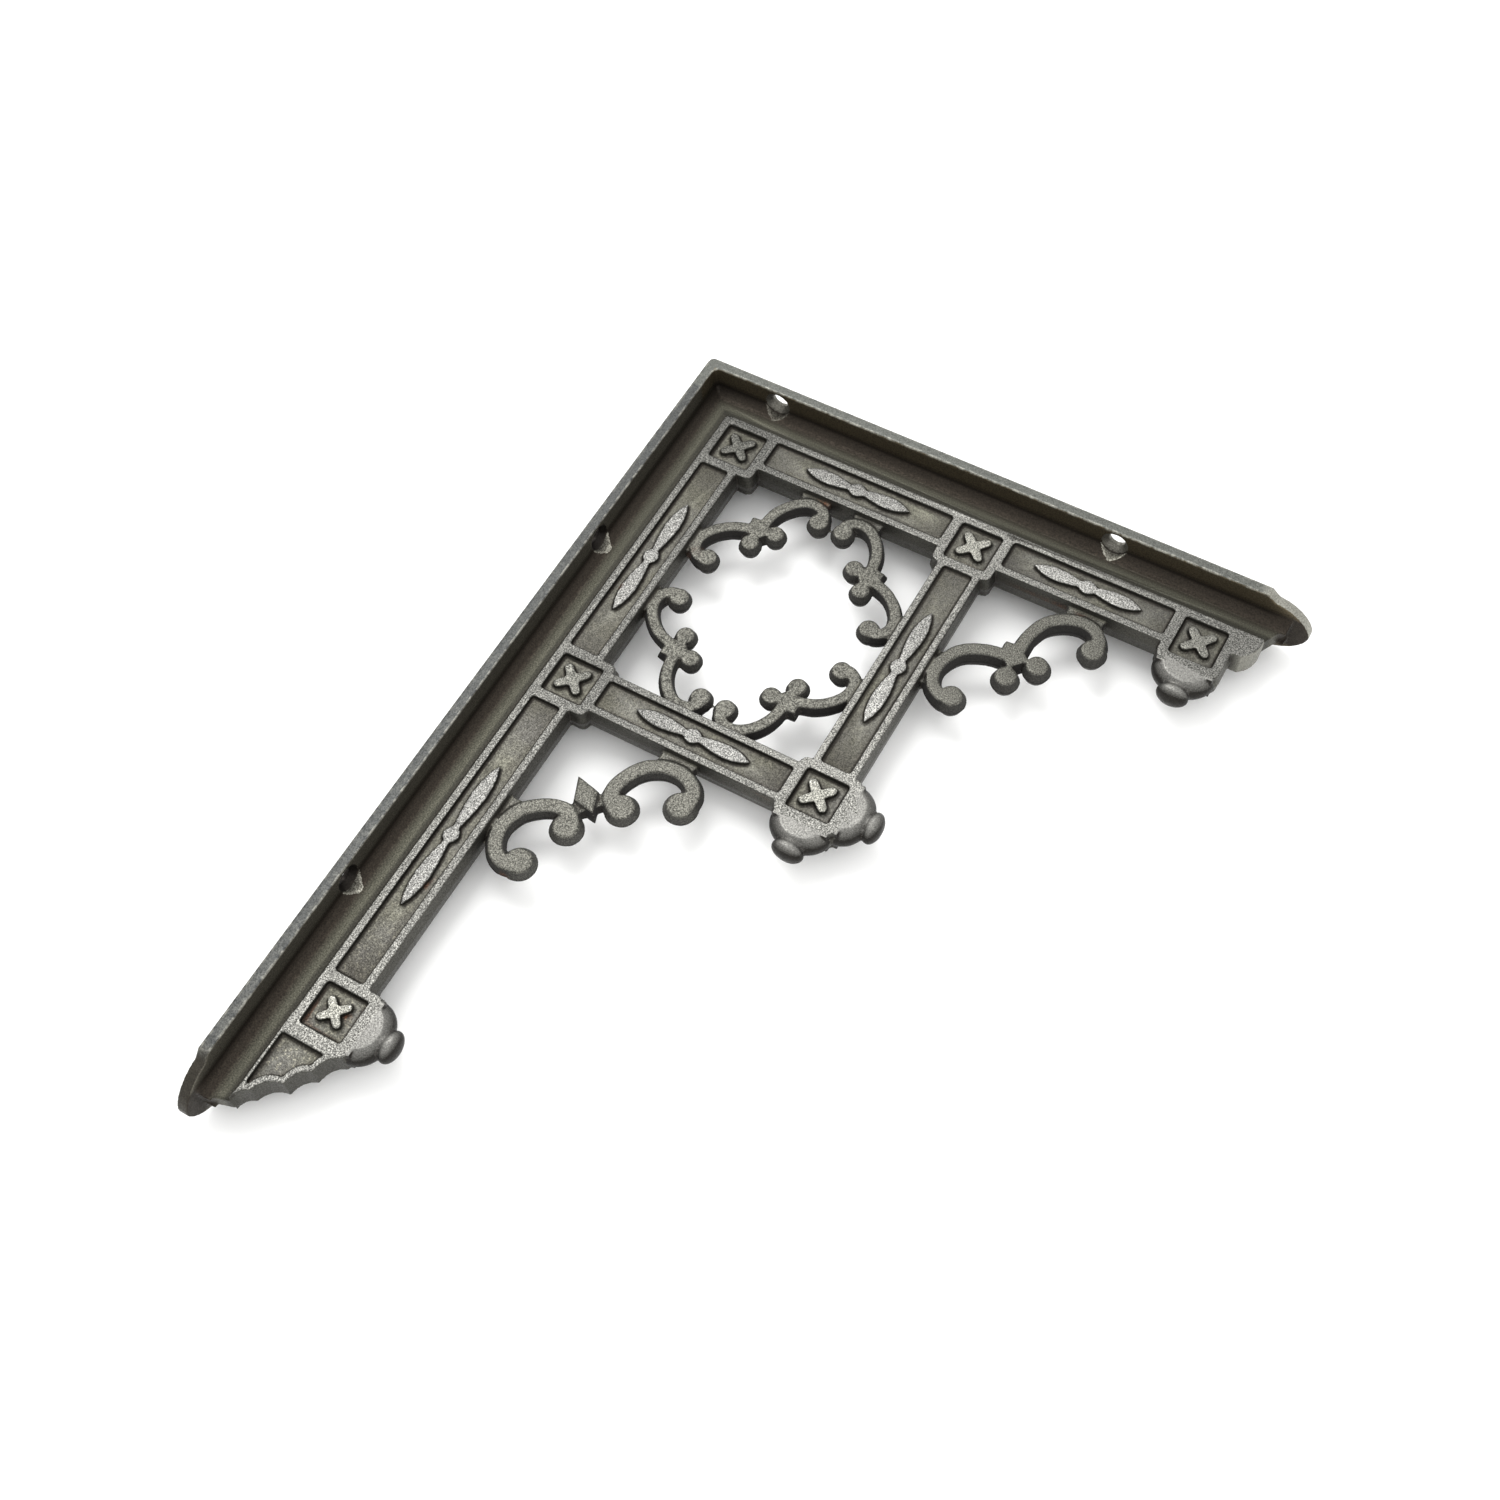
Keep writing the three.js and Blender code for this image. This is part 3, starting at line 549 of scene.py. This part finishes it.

# Painted light and shade: broad soft spots make some of the raised faces brighter than the rest, and some darker.
light_and_shade_spots = [
    (D.x + 6, D.y + 22, 30, 0.5), (F.x - 6, F.y - 8, 34, 0.45), (B.x, B.y + 9, 16, 0.35),
    (140, B.y + 10, 18, 0.45), (165, B.y + 10, 16, 0.4), (A.x, A.y + 2, 17, -0.55),
    (C.x + 4, C.y + 4, 17, -0.25), (C.x + 20, C.y + 4, 16, -0.2), (E.x - 4, E.y, 15, -0.15),
]
painted_light_and_shade = np.ones(len(places))
for x, z, radius, change in light_and_shade_spots:
    far = ((places[:, 0] - x) ** 2 + (places[:, 2] - z) ** 2) / radius**2
    painted_light_and_shade += change * np.exp(-far)

measured = {"shade_and_grime": shade_and_grime, "valley": valley, "ridge": ridge, "rust": rust, "painted_light_and_shade": painted_light_and_shade}
for name, values in measured.items():
    stored = casting.data.attributes.new(name, "FLOAT", "POINT")
    stored.data.foreach_set("value", values.astype(np.float32))
print("measured on the skin:", {name: round(float(values.mean()), 3) for name, values in measured.items()})

# %% [markdown]
# The carved front and the lines along edges and hollows must keep their small triangles, or the
# measured values would smear. A vertex group tells the thinning which points to spare.

# %% Thin the skin
busy = (shade_and_grime > 0) | (ridge > 0.3)
pairs = column(casting.data.edges, "vertices", 2, np.int32)
for _ in range(2):
    touched = busy[pairs].any(axis=1)
    busy[pairs[touched].ravel()] = True
carved = (places[:, 1] < -2.4) & (places[:, 1] > -5) & (places[:, 0] > 11) & (places[:, 2] < 139)
group = casting.vertex_groups.new(name="thin here")
for weight, chosen in ((0.5, busy | carved), (1.0, ~(busy | carved))):
    group.add(np.flatnonzero(chosen).tolist(), weight, "REPLACE")
thin = casting.modifiers.new("thin", "DECIMATE")
thin.ratio = 190000 / (2 * len(casting.data.polygons))
thin.vertex_group = group.name
thin.vertex_group_factor = 1e-7
apply_modifiers(casting)
casting.vertex_groups.clear()
print("spared points:", int((busy | carved).sum()), "of", len(busy))
print("thinned skin:", len(casting.data.polygons), "triangles")

# %% [markdown]
# ## What each face is part of
# The same metal looks different on a wall, on a leaf and on the edge of a strip. These masks are
# measured face by face, so that they stay sharp: how far a face leans away from the front, and
# whether it lies in a panel, in a scroll cell, on a pendant or on the rim of a strip.

# %% Measure the faces
def within(points, boxes, margin):
    """1 for each point that lies inside one of the boxes, seen from the front."""
    found = np.zeros(len(points))
    for left, bottom, right, top in boxes:
        wide = (points[:, 0] > left + margin) & (points[:, 0] < right - margin)
        tall = (points[:, 2] > bottom + margin) & (points[:, 2] < top - margin)
        found[wide & tall] = 1
    return found


START = BLOCK_HALF + 0.5
panels = [
    [A.x + START, A.y - 2.4, B.x - START, A.y + 7.8],
    [B.x + START, A.y - 2.4, E.x - START, A.y + 7.8],
    [A.x - 7.8, C.y + START, A.x + 2.4, A.y - START],
    [A.x - 7.8, F.y + START, A.x + 2.4, C.y - START],
    [C.x + START, C.y - 5.1, D.x - START, C.y + 5.1],
    [D.x - 5.1, D.y + START, D.x + 5.1, B.y - START],
]
recesses = [[p.x - 7.3, p.y - 7.3, p.x + 7.3, p.y + 7.3] for p in (A, B, C, D, E, F)]
centres = column(casting.data.polygons, "center", 3) / MM
facing = column(casting.data.polygons, "normal", 3)
edge_of_strip = np.abs(centres[:, 1]) > 12.9
on_wall_strip = (centres[:, 0] < 3.7) & (edge_of_strip | (centres[:, 2] < 17 - TOP))
on_shelf_strip = (centres[:, 2] > TOP - 3.7) & (edge_of_strip | (centres[:, 0] > 201))
drilled = np.zeros(len(centres))
bored = np.zeros(len(centres))
# The spot faces round the holes are painted lighter hole by hole: partly bare cut metal, partly painted light.
for along, axis, bright in ((27.6, 0, 0.35), (151.1, 0, 0.9), (TOP - 79, 2, 0.9), (TOP - 219.3, 2, 0.8)):
    off_axis = np.hypot(np.abs(centres[:, 1]) - 7.7, centres[:, axis] - along)
    inward = TOP - centres[:, 2] if axis == 0 else centres[:, 0]
    drilled[(off_axis < 4.9) & (inward > 3.8) & (inward < 9) & (np.abs(centres[:, 1]) < 7)] = bright
    bored[(off_axis < 4.5) & (inward > 0.1) & (inward < 3.5)] = 1
against_wall = (centres[:, 0] < 0.3) & (facing[:, 0] < -0.8)
under_shelf = (centres[:, 2] > TOP - 0.3) & (facing[:, 2] > 0.8)
faces = {
    "mounting": against_wall | under_shelf,
    "drilled": drilled,
    "bored": bored,
    "lean": 1 - np.abs(facing[:, 1]),
    "lacework": within(centres, away[:6], SWELL + 0.4),
    "buds": within(centres, away[6:], 0.4),
    "leaves": within(centres, panels, 0.3),
    "crosses": within(centres, recesses, 0.3),
    "rim": np.maximum(on_wall_strip * (1 - np.abs(facing[:, 0])), on_shelf_strip * (1 - np.abs(facing[:, 2]))),
}
for name, values in faces.items():
    stored = casting.data.attributes.new(name, "FLOAT", "FACE")
    stored.data.foreach_set("value", values.astype(np.float32))
print("faces in each mask:", {name: int((values > 0.5).sum()) for name, values in faces.items()})

# %% [markdown]
# ## Uneven sand
# No rammed sand is quite flat. The skin is moved in and out by a few hundredths of a millimetre,
# in slow waves and in small ones, so that edges and highlights wander a little. The faces that
# touch the wall and the shelf stay flat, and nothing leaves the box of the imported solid.

# %% Uneven sand
mesh = casting.data
points = column(mesh.vertices, "co", 3).astype(np.float64)
normals = column(mesh.vertices, "normal", 3)
waves = np.array([
    0.08 * noise.noise(Vector(p) / (7 * MM)) + 0.05 * noise.noise(Vector(p) / (2.2 * MM))
    for p in points
])
flat = (points[:, 0] < 0.3 * MM) | (points[:, 2] > (TOP - 0.3) * MM)
waves[flat] = 0
points += normals * (waves * MM)[:, None]
points = np.clip(points, cad_box[0], cad_box[1])
mesh.vertices.foreach_set("co", points.astype(np.float32).ravel())
mesh.update()
for polygon in mesh.polygons:
    polygon.use_smooth = True
print("unevenness from", round(waves.min(), 3), "to", round(waves.max(), 3), "mm")

# %% [markdown]
# ## Materials
# A colour is written as a hex value as the eye sees it, and one function turns it to the linear
# values that the renderer works with. Another adds a node with its settings and links.

# %% Colours and nodes
def colour(text):
    """Linear red, green, blue and alpha of an sRGB hex colour."""
    parts = [int(text[i:i + 2], 16) / 255 for i in (1, 3, 5)]
    linear = [p / 12.92 if p <= 0.04045 else ((p + 0.055) / 1.055) ** 2.4 for p in parts]
    return (*linear, 1)


def add_node(tree, kind, settings=None, inputs=None):
    """Adds a node. An input is a value, or a socket of another node to link from."""
    node = tree.nodes.new(kind)
    for name, value in (settings or {}).items():
        setattr(node, name, value)
    for name, value in (inputs or {}).items():
        if isinstance(value, bpy.types.NodeSocket):
            tree.links.new(value, node.inputs[name])
        else:
            node.inputs[name].default_value = value
    return node


# %% [markdown]
# ## Sand-cast grey iron
# Bare grey iron from a sand mould is a rough metal. Its grain is about a third of a millimetre,
# the size of the moulding sand. The highest faces were rubbed bright and glint. The floors of
# the panels keep the darker, greener skin of the casting, and the inner walls of the strips are
# nearly black-brown. So the colour follows the height above the middle of the web, the distance
# from the strips, and the measured hollows.
# Some of the colour is painted light and shade: painted shade in hollows, in the wall bores and on walls and
# pendant sides that turn from the front, and painted light on the tail, the spot faces, the pendants' fronts and
# the strips' arrises, with broad painted spots of light and shade on the raised faces.

# %% Sand-cast grey iron
iron = bpy.data.materials.new("sand_cast_grey_iron")
iron.use_nodes = True
tree = iron.node_tree
tree.nodes.clear()
coords = add_node(tree, "ShaderNodeTexCoord").outputs["Object"]
axes = add_node(tree, "ShaderNodeSeparateXYZ", inputs={"Vector": coords})
height = add_node(tree, "ShaderNodeMath", {"operation": "ABSOLUTE"}, {0: axes.outputs["Y"]}).outputs[0]

grain_size = 0.34 * MM
grain = add_node(tree, "ShaderNodeTexNoise", inputs={
    "Vector": coords, "Scale": 0.8 / grain_size, "Detail": 2.0, "Roughness": 0.6}).outputs["Fac"]
mottle = add_node(tree, "ShaderNodeTexNoise", inputs={
    "Vector": coords, "Scale": 1 / (2.2 * MM), "Detail": 3.0, "Roughness": 0.6}).outputs["Fac"]
patches = add_node(tree, "ShaderNodeTexNoise", inputs={
    "Vector": coords, "Scale": 1 / (14 * MM), "Detail": 4.0, "Roughness": 0.6}).outputs["Fac"]
sharp_grain = add_node(tree, "ShaderNodeMapRange", {}, {0: grain, 1: 0.3, 2: 0.7}).outputs[0]
sharp_patches = add_node(tree, "ShaderNodeMapRange", {}, {0: patches, 1: 0.35, 2: 0.65}).outputs[0]
specks = add_node(tree, "ShaderNodeTexNoise", inputs={
    "Vector": coords, "Scale": 1 / (0.9 * MM), "Detail": 2.0, "Roughness": 0.7}).outputs["Fac"]
specks = add_node(tree, "ShaderNodeMapRange", {}, {0: specks, 1: 0.56, 2: 0.66}).outputs[0]
low_down = add_node(tree, "ShaderNodeMapRange", {}, {
    0: axes.outputs["Z"], 1: -55 * MM, 2: -95 * MM, 3: 0.12, 4: 0.5}).outputs[0]
dust = add_node(tree, "ShaderNodeMath", {"operation": "MULTIPLY"}, {0: specks, 1: low_down}).outputs[0]

masks = {name: add_node(tree, "ShaderNodeAttribute", {"attribute_name": name}).outputs["Fac"]
         for name in [*measured, *faces]}
leaning = add_node(tree, "ShaderNodeMapRange", {}, {0: masks["lean"], 1: 0.3, 2: 0.7}).outputs[0]
rim = add_node(tree, "ShaderNodeMapRange", {}, {0: masks["rim"], 1: 0.25, 2: 0.6}).outputs[0]
above = add_node(tree, "ShaderNodeMapRange", {}, {0: height, 1: 3.9 * MM, 2: 4.4 * MM}).outputs[0]
below = add_node(tree, "ShaderNodeMapRange", {}, {0: height, 1: 5.2 * MM, 2: 4.9 * MM}).outputs[0]
rubbed = add_node(tree, "ShaderNodeMath", {"operation": "MULTIPLY"}, {0: above, 1: below}).outputs[0]
inside_wall = add_node(tree, "ShaderNodeMapRange", {}, {
    0: axes.outputs["X"], 1: 9.0 * MM, 2: 6.6 * MM}).outputs[0]
inside_shelf = add_node(tree, "ShaderNodeMapRange", {}, {
    0: axes.outputs["Z"], 1: (TOP - 9.6) * MM, 2: (TOP - 7.0) * MM}).outputs[0]
land_wall = add_node(tree, "ShaderNodeMapRange", {}, {
    0: axes.outputs["X"], 1: 13.4 * MM, 2: 12.6 * MM}).outputs[0]
land_shelf = add_node(tree, "ShaderNodeMapRange", {}, {
    0: axes.outputs["Z"], 1: (TOP - 13.4) * MM, 2: (TOP - 12.6) * MM}).outputs[0]
land = add_node(tree, "ShaderNodeMath", {"operation": "MAXIMUM"}, {0: land_wall, 1: land_shelf}).outputs[0]
inside = add_node(tree, "ShaderNodeMath", {"operation": "MAXIMUM"}, {
    0: inside_wall, 1: inside_shelf}).outputs[0]
not_rubbed = add_node(tree, "ShaderNodeMath", {"operation": "SUBTRACT"}, {0: 1.0, 1: rubbed}).outputs[0]
bare_land = add_node(tree, "ShaderNodeMath", {"operation": "MULTIPLY"}, {0: land, 1: not_rubbed}).outputs[0]

floor_tone = add_node(tree, "ShaderNodeMix", {"data_type": "RGBA"}, {
    0: sharp_patches, 6: colour("#5e5d53"), 7: colour("#5d5c57")}).outputs[2]
floor_tone = add_node(tree, "ShaderNodeMix", {"data_type": "RGBA"}, {
    0: dust, 6: floor_tone, 7: colour("#a19d8b")}).outputs[2]
rail_tone = add_node(tree, "ShaderNodeMix", {"data_type": "RGBA"}, {
    0: sharp_grain, 6: colour("#2e2e2c"), 7: colour("#7e7d78")}).outputs[2]
leaf_tone = add_node(tree, "ShaderNodeMix", {"data_type": "RGBA"}, {
    0: sharp_grain, 6: colour("#3b3b39"), 7: colour("#8f8e8a")}).outputs[2]
cross_tone = add_node(tree, "ShaderNodeMix", {"data_type": "RGBA"}, {
    0: sharp_grain, 6: colour("#393936"), 7: colour("#8c8b83")}).outputs[2]
# Painted light and shade on the pendants: light where they face the front, dark where they turn away.
turned_away = add_node(tree, "ShaderNodeMapRange", {}, {0: masks["lean"], 1: 0.06, 2: 0.55}).outputs[0]
painted_bud_light_and_shade = add_node(tree, "ShaderNodeMix", {"data_type": "RGBA"}, {
    0: turned_away, 6: colour("#767571"), 7: colour("#1f1d1a")}).outputs[2]
raised = add_node(tree, "ShaderNodeMix", {"data_type": "RGBA"}, {
    0: masks["leaves"], 6: rail_tone, 7: leaf_tone}).outputs[2]
raised = add_node(tree, "ShaderNodeMix", {"data_type": "RGBA"}, {
    0: masks["crosses"], 6: raised, 7: cross_tone}).outputs[2]
# Painted light and shade in broad soft spots over the raised faces.
raised = add_node(tree, "ShaderNodeMix", {"data_type": "RGBA", "blend_type": "MULTIPLY"}, {
    0: 1.0, 6: raised, 7: masks["painted_light_and_shade"]}).outputs[2]
# Painted shade on walls that turn from the front, over a darker casting skin; the scroll walls are nearly black.
scroll_wall_shade = add_node(tree, "ShaderNodeMix", {"data_type": "RGBA"}, {
    0: masks["lacework"], 6: colour("#403f3a"), 7: colour("#161412")}).outputs[2]
# Painted light: the walls and edges of the tail, past x = 199 mm, are lighter.
lit_tail = add_node(tree, "ShaderNodeMapRange", {}, {
    0: axes.outputs["X"], 1: 199 * MM, 2: 203 * MM}).outputs[0]
wall_shade_tone = add_node(tree, "ShaderNodeMix", {"data_type": "RGBA"}, {
    0: lit_tail, 6: scroll_wall_shade, 7: colour("#77766e")}).outputs[2]
edge_tone = add_node(tree, "ShaderNodeMix", {"data_type": "RGBA"}, {
    0: land_shelf, 6: colour("#424342"), 7: colour("#565753")}).outputs[2]
at_foot = add_node(tree, "ShaderNodeMapRange", {}, {
    0: axes.outputs["Z"], 1: -132 * MM, 2: -137 * MM}).outputs[0]
edge_tone = add_node(tree, "ShaderNodeMix", {"data_type": "RGBA"}, {
    0: at_foot, 6: edge_tone, 7: colour("#35322c")}).outputs[2]
edge_tone = add_node(tree, "ShaderNodeMix", {"data_type": "RGBA"}, {
    0: lit_tail, 6: edge_tone, 7: colour("#85847c")}).outputs[2]
inner_tone = add_node(tree, "ShaderNodeMix", {"data_type": "RGBA"}, {
    0: land_shelf, 6: colour("#5a574e"), 7: colour("#554d3d")}).outputs[2]
in_cove = add_node(tree, "ShaderNodeMapRange", {}, {0: height, 1: 8.2 * MM, 2: 6.2 * MM}).outputs[0]
inner_tone = add_node(tree, "ShaderNodeMix", {"data_type": "RGBA"}, {
    0: in_cove, 6: inner_tone, 7: colour("#2b2620")}).outputs[2]
foot_wall = add_node(tree, "ShaderNodeMapRange", {}, {
    0: axes.outputs["X"], 1: 10.2 * MM, 2: 11.2 * MM}).outputs[0]
foot_shelf = add_node(tree, "ShaderNodeMapRange", {}, {
    0: axes.outputs["Z"], 1: (TOP - 10.2) * MM, 2: (TOP - 11.2) * MM}).outputs[0]
foot = add_node(tree, "ShaderNodeMath", {"operation": "MULTIPLY"}, {0: foot_wall, 1: foot_shelf}).outputs[0]
land_tone = add_node(tree, "ShaderNodeMix", {"data_type": "RGBA"}, {
    0: foot, 6: colour("#45443b"), 7: colour("#2f2e28")}).outputs[2]
rust_tone = add_node(tree, "ShaderNodeMix", {"data_type": "RGBA"}, {
    0: sharp_grain, 6: colour("#3a2117"), 7: colour("#6a4026")}).outputs[2]
in_patches = add_node(tree, "ShaderNodeMapRange", {}, {
    0: mottle, 1: 0.35, 2: 0.6, 3: 0.2, 4: 1.0}).outputs[0]
rusted = add_node(tree, "ShaderNodeMath", {"operation": "MULTIPLY"}, {
    0: masks["rust"], 1: in_patches}).outputs[0]
# Painted highlight, partly a bright burr: a broken light line along the arrises of the strips.
at_side = add_node(tree, "ShaderNodeMapRange", {}, {0: height, 1: 12.0 * MM, 2: 12.6 * MM}).outputs[0]
arris_highlight = add_node(tree, "ShaderNodeMath", {"operation": "MULTIPLY"}, {0: masks["ridge"], 1: at_side}).outputs[0]
broken = add_node(tree, "ShaderNodeMapRange", {}, {0: mottle, 1: 0.4, 2: 0.62}).outputs[0]
arris_highlight = add_node(tree, "ShaderNodeMath", {"operation": "MULTIPLY"}, {0: arris_highlight, 1: broken}).outputs[0]
# Painted shade, with some grime, in broad hollows such as round the pendant necks.
valley_shade_and_grime = add_node(tree, "ShaderNodeMath", {"operation": "MULTIPLY"}, {0: masks["valley"], 1: 0.7}).outputs[0]
# Painted shade, with dust and oxide, in the dark lines at the foot of the relief.
shade_and_grime_share = add_node(tree, "ShaderNodeMath", {"operation": "MULTIPLY"}, {0: masks["shade_and_grime"], 1: 0.8}).outputs[0]
scroll_tone = add_node(tree, "ShaderNodeMix", {"data_type": "RGBA"}, {
    0: sharp_grain, 6: colour("#383733"), 7: colour("#67665f")}).outputs[2]
# Painted shade inside the bores of the wall strip; the bores of the shelf strip are lighter.
bore_shade_tone = add_node(tree, "ShaderNodeMix", {"data_type": "RGBA"}, {
    0: land_shelf, 6: colour("#1d1a17"), 7: colour("#66645d")}).outputs[2]
# The spot faces: partly bare cut metal, partly painted light.
drill_tone = add_node(tree, "ShaderNodeMix", {"data_type": "RGBA"}, {
    0: sharp_grain, 6: colour("#5a584f"), 7: colour("#97958b")}).outputs[2]
mount_tone = add_node(tree, "ShaderNodeMix", {"data_type": "RGBA"}, {
    0: sharp_patches, 6: colour("#3f3c35"), 7: colour("#55534b")}).outputs[2]
layers = [
    (masks["lacework"], scroll_tone),
    (rubbed, raised),
    (leaning, wall_shade_tone),
    (masks["buds"], painted_bud_light_and_shade),
    (bare_land, land_tone),
    (inside, inner_tone),
    (masks["drilled"], drill_tone),
    (masks["bored"], bore_shade_tone),
    (rim, edge_tone),
    (masks["mounting"], mount_tone),
    (arris_highlight, colour("#85847c")),
    (valley_shade_and_grime, colour("#26221d")),
    (shade_and_grime_share, colour("#1f1c18")),
    (rusted, rust_tone),
]
tone = floor_tone
for share, over in layers:
    tone = add_node(tree, "ShaderNodeMix", {"data_type": "RGBA"}, {0: share, 6: tone, 7: over}).outputs[2]
speckle = add_node(tree, "ShaderNodeMapRange", {}, {0: grain, 1: 0.3, 2: 0.7, 3: 0.62, 4: 1.38}).outputs[0]
tone = add_node(tree, "ShaderNodeMix", {"data_type": "RGBA", "blend_type": "MULTIPLY"}, {
    0: 1.0, 6: tone, 7: speckle}).outputs[2]

bump = add_node(tree, "ShaderNodeBump", inputs={
    "Strength": 0.8, "Distance": 0.08 * MM, "Height": grain}).outputs["Normal"]
rough = add_node(tree, "ShaderNodeMapRange", {}, {0: grain, 1: 0.3, 2: 0.7, 3: 0.6, 4: 0.36}).outputs[0]
scaled = add_node(tree, "ShaderNodeMath", {"operation": "MULTIPLY"}, {
    0: leaning, 1: masks["lacework"]}).outputs[0]
metal = add_node(tree, "ShaderNodeMapRange", {}, {0: scaled, 3: 0.85, 4: 0.2}).outputs[0]
rough = add_node(tree, "ShaderNodeMath", {"operation": "MAXIMUM"}, {0: rough, 1: scaled}).outputs[0]
shader = add_node(tree, "ShaderNodeBsdfPrincipled", inputs={
    "Base Color": tone, "Metallic": metal, "Roughness": rough, "Normal": bump})
add_node(tree, "ShaderNodeOutputMaterial", inputs={"Surface": shader.outputs["BSDF"]})

mesh.materials.clear()
mesh.materials.append(iron)
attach(casting, "root")
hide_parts("shelf_bracket")
print("material:", iron.name, "with", len(tree.nodes), "nodes")

# %% [markdown]
# ## White paper and soft light
# The bracket lies on its side on white paper, which touches the far edges of both strips. So the
# paper stands upright here. Seen from behind it is clear, as the object is looked at from there
# too. Large soft lights stand above the paper, the brightest at the upper left.

# %% White paper
paper_mesh = bmesh.new()
bmesh.ops.create_grid(paper_mesh, x_segments=1, y_segments=1, size=3000)
upright = Matrix.Translation((80, 13.6, 0)) @ Matrix.Rotation(math.radians(90), 4, "X")
bmesh.ops.transform(paper_mesh, matrix=upright, verts=paper_mesh.verts)
paper = object_from(paper_mesh, "paper")

white = bpy.data.materials.new("white_paper")
white.use_nodes = True
tree = white.node_tree
tree.nodes.clear()
sheet = add_node(tree, "ShaderNodeBsdfPrincipled", inputs={
    "Base Color": colour("#f7f7f6"), "Roughness": 0.9, "Specular IOR Level": 0.1})
clear = add_node(tree, "ShaderNodeBsdfTransparent")
behind = add_node(tree, "ShaderNodeNewGeometry").outputs["Backfacing"]
mix = add_node(tree, "ShaderNodeMixShader", inputs={
    0: behind, 1: sheet.outputs[0], 2: clear.outputs[0]})
add_node(tree, "ShaderNodeOutputMaterial", inputs={"Surface": mix.outputs[0]})
paper.data.materials.append(white)

# %% Soft light
world = bpy.data.worlds.new("studio")
world.use_nodes = True
world.node_tree.nodes["Background"].inputs["Color"].default_value = (1, 1, 1, 1)
world.node_tree.nodes["Background"].inputs["Strength"].default_value = 1.38
bpy.context.scene.world = world


def soft_box(name, place, target, size, power):
    """A square area light that looks at a target."""
    light = bpy.data.lights.new(name, "AREA")
    light.size = size
    light.energy = power
    lamp = bpy.data.objects.new(name, light)
    way = Vector(target) - Vector(place)
    lamp.matrix_world = Matrix.Translation(place) @ way.to_track_quat("-Z", "Y").to_matrix().to_4x4()
    bpy.context.scene.collection.objects.link(lamp)


soft_box("key", (-0.35, -1.15, 0.38), (0.08, 0, 0), 0.7, 9)
soft_box("fill", (0.9, -1.3, -0.2), (0.1, 0, 0), 1.0, 3)
bpy.context.scene.view_settings.view_transform = "Standard"
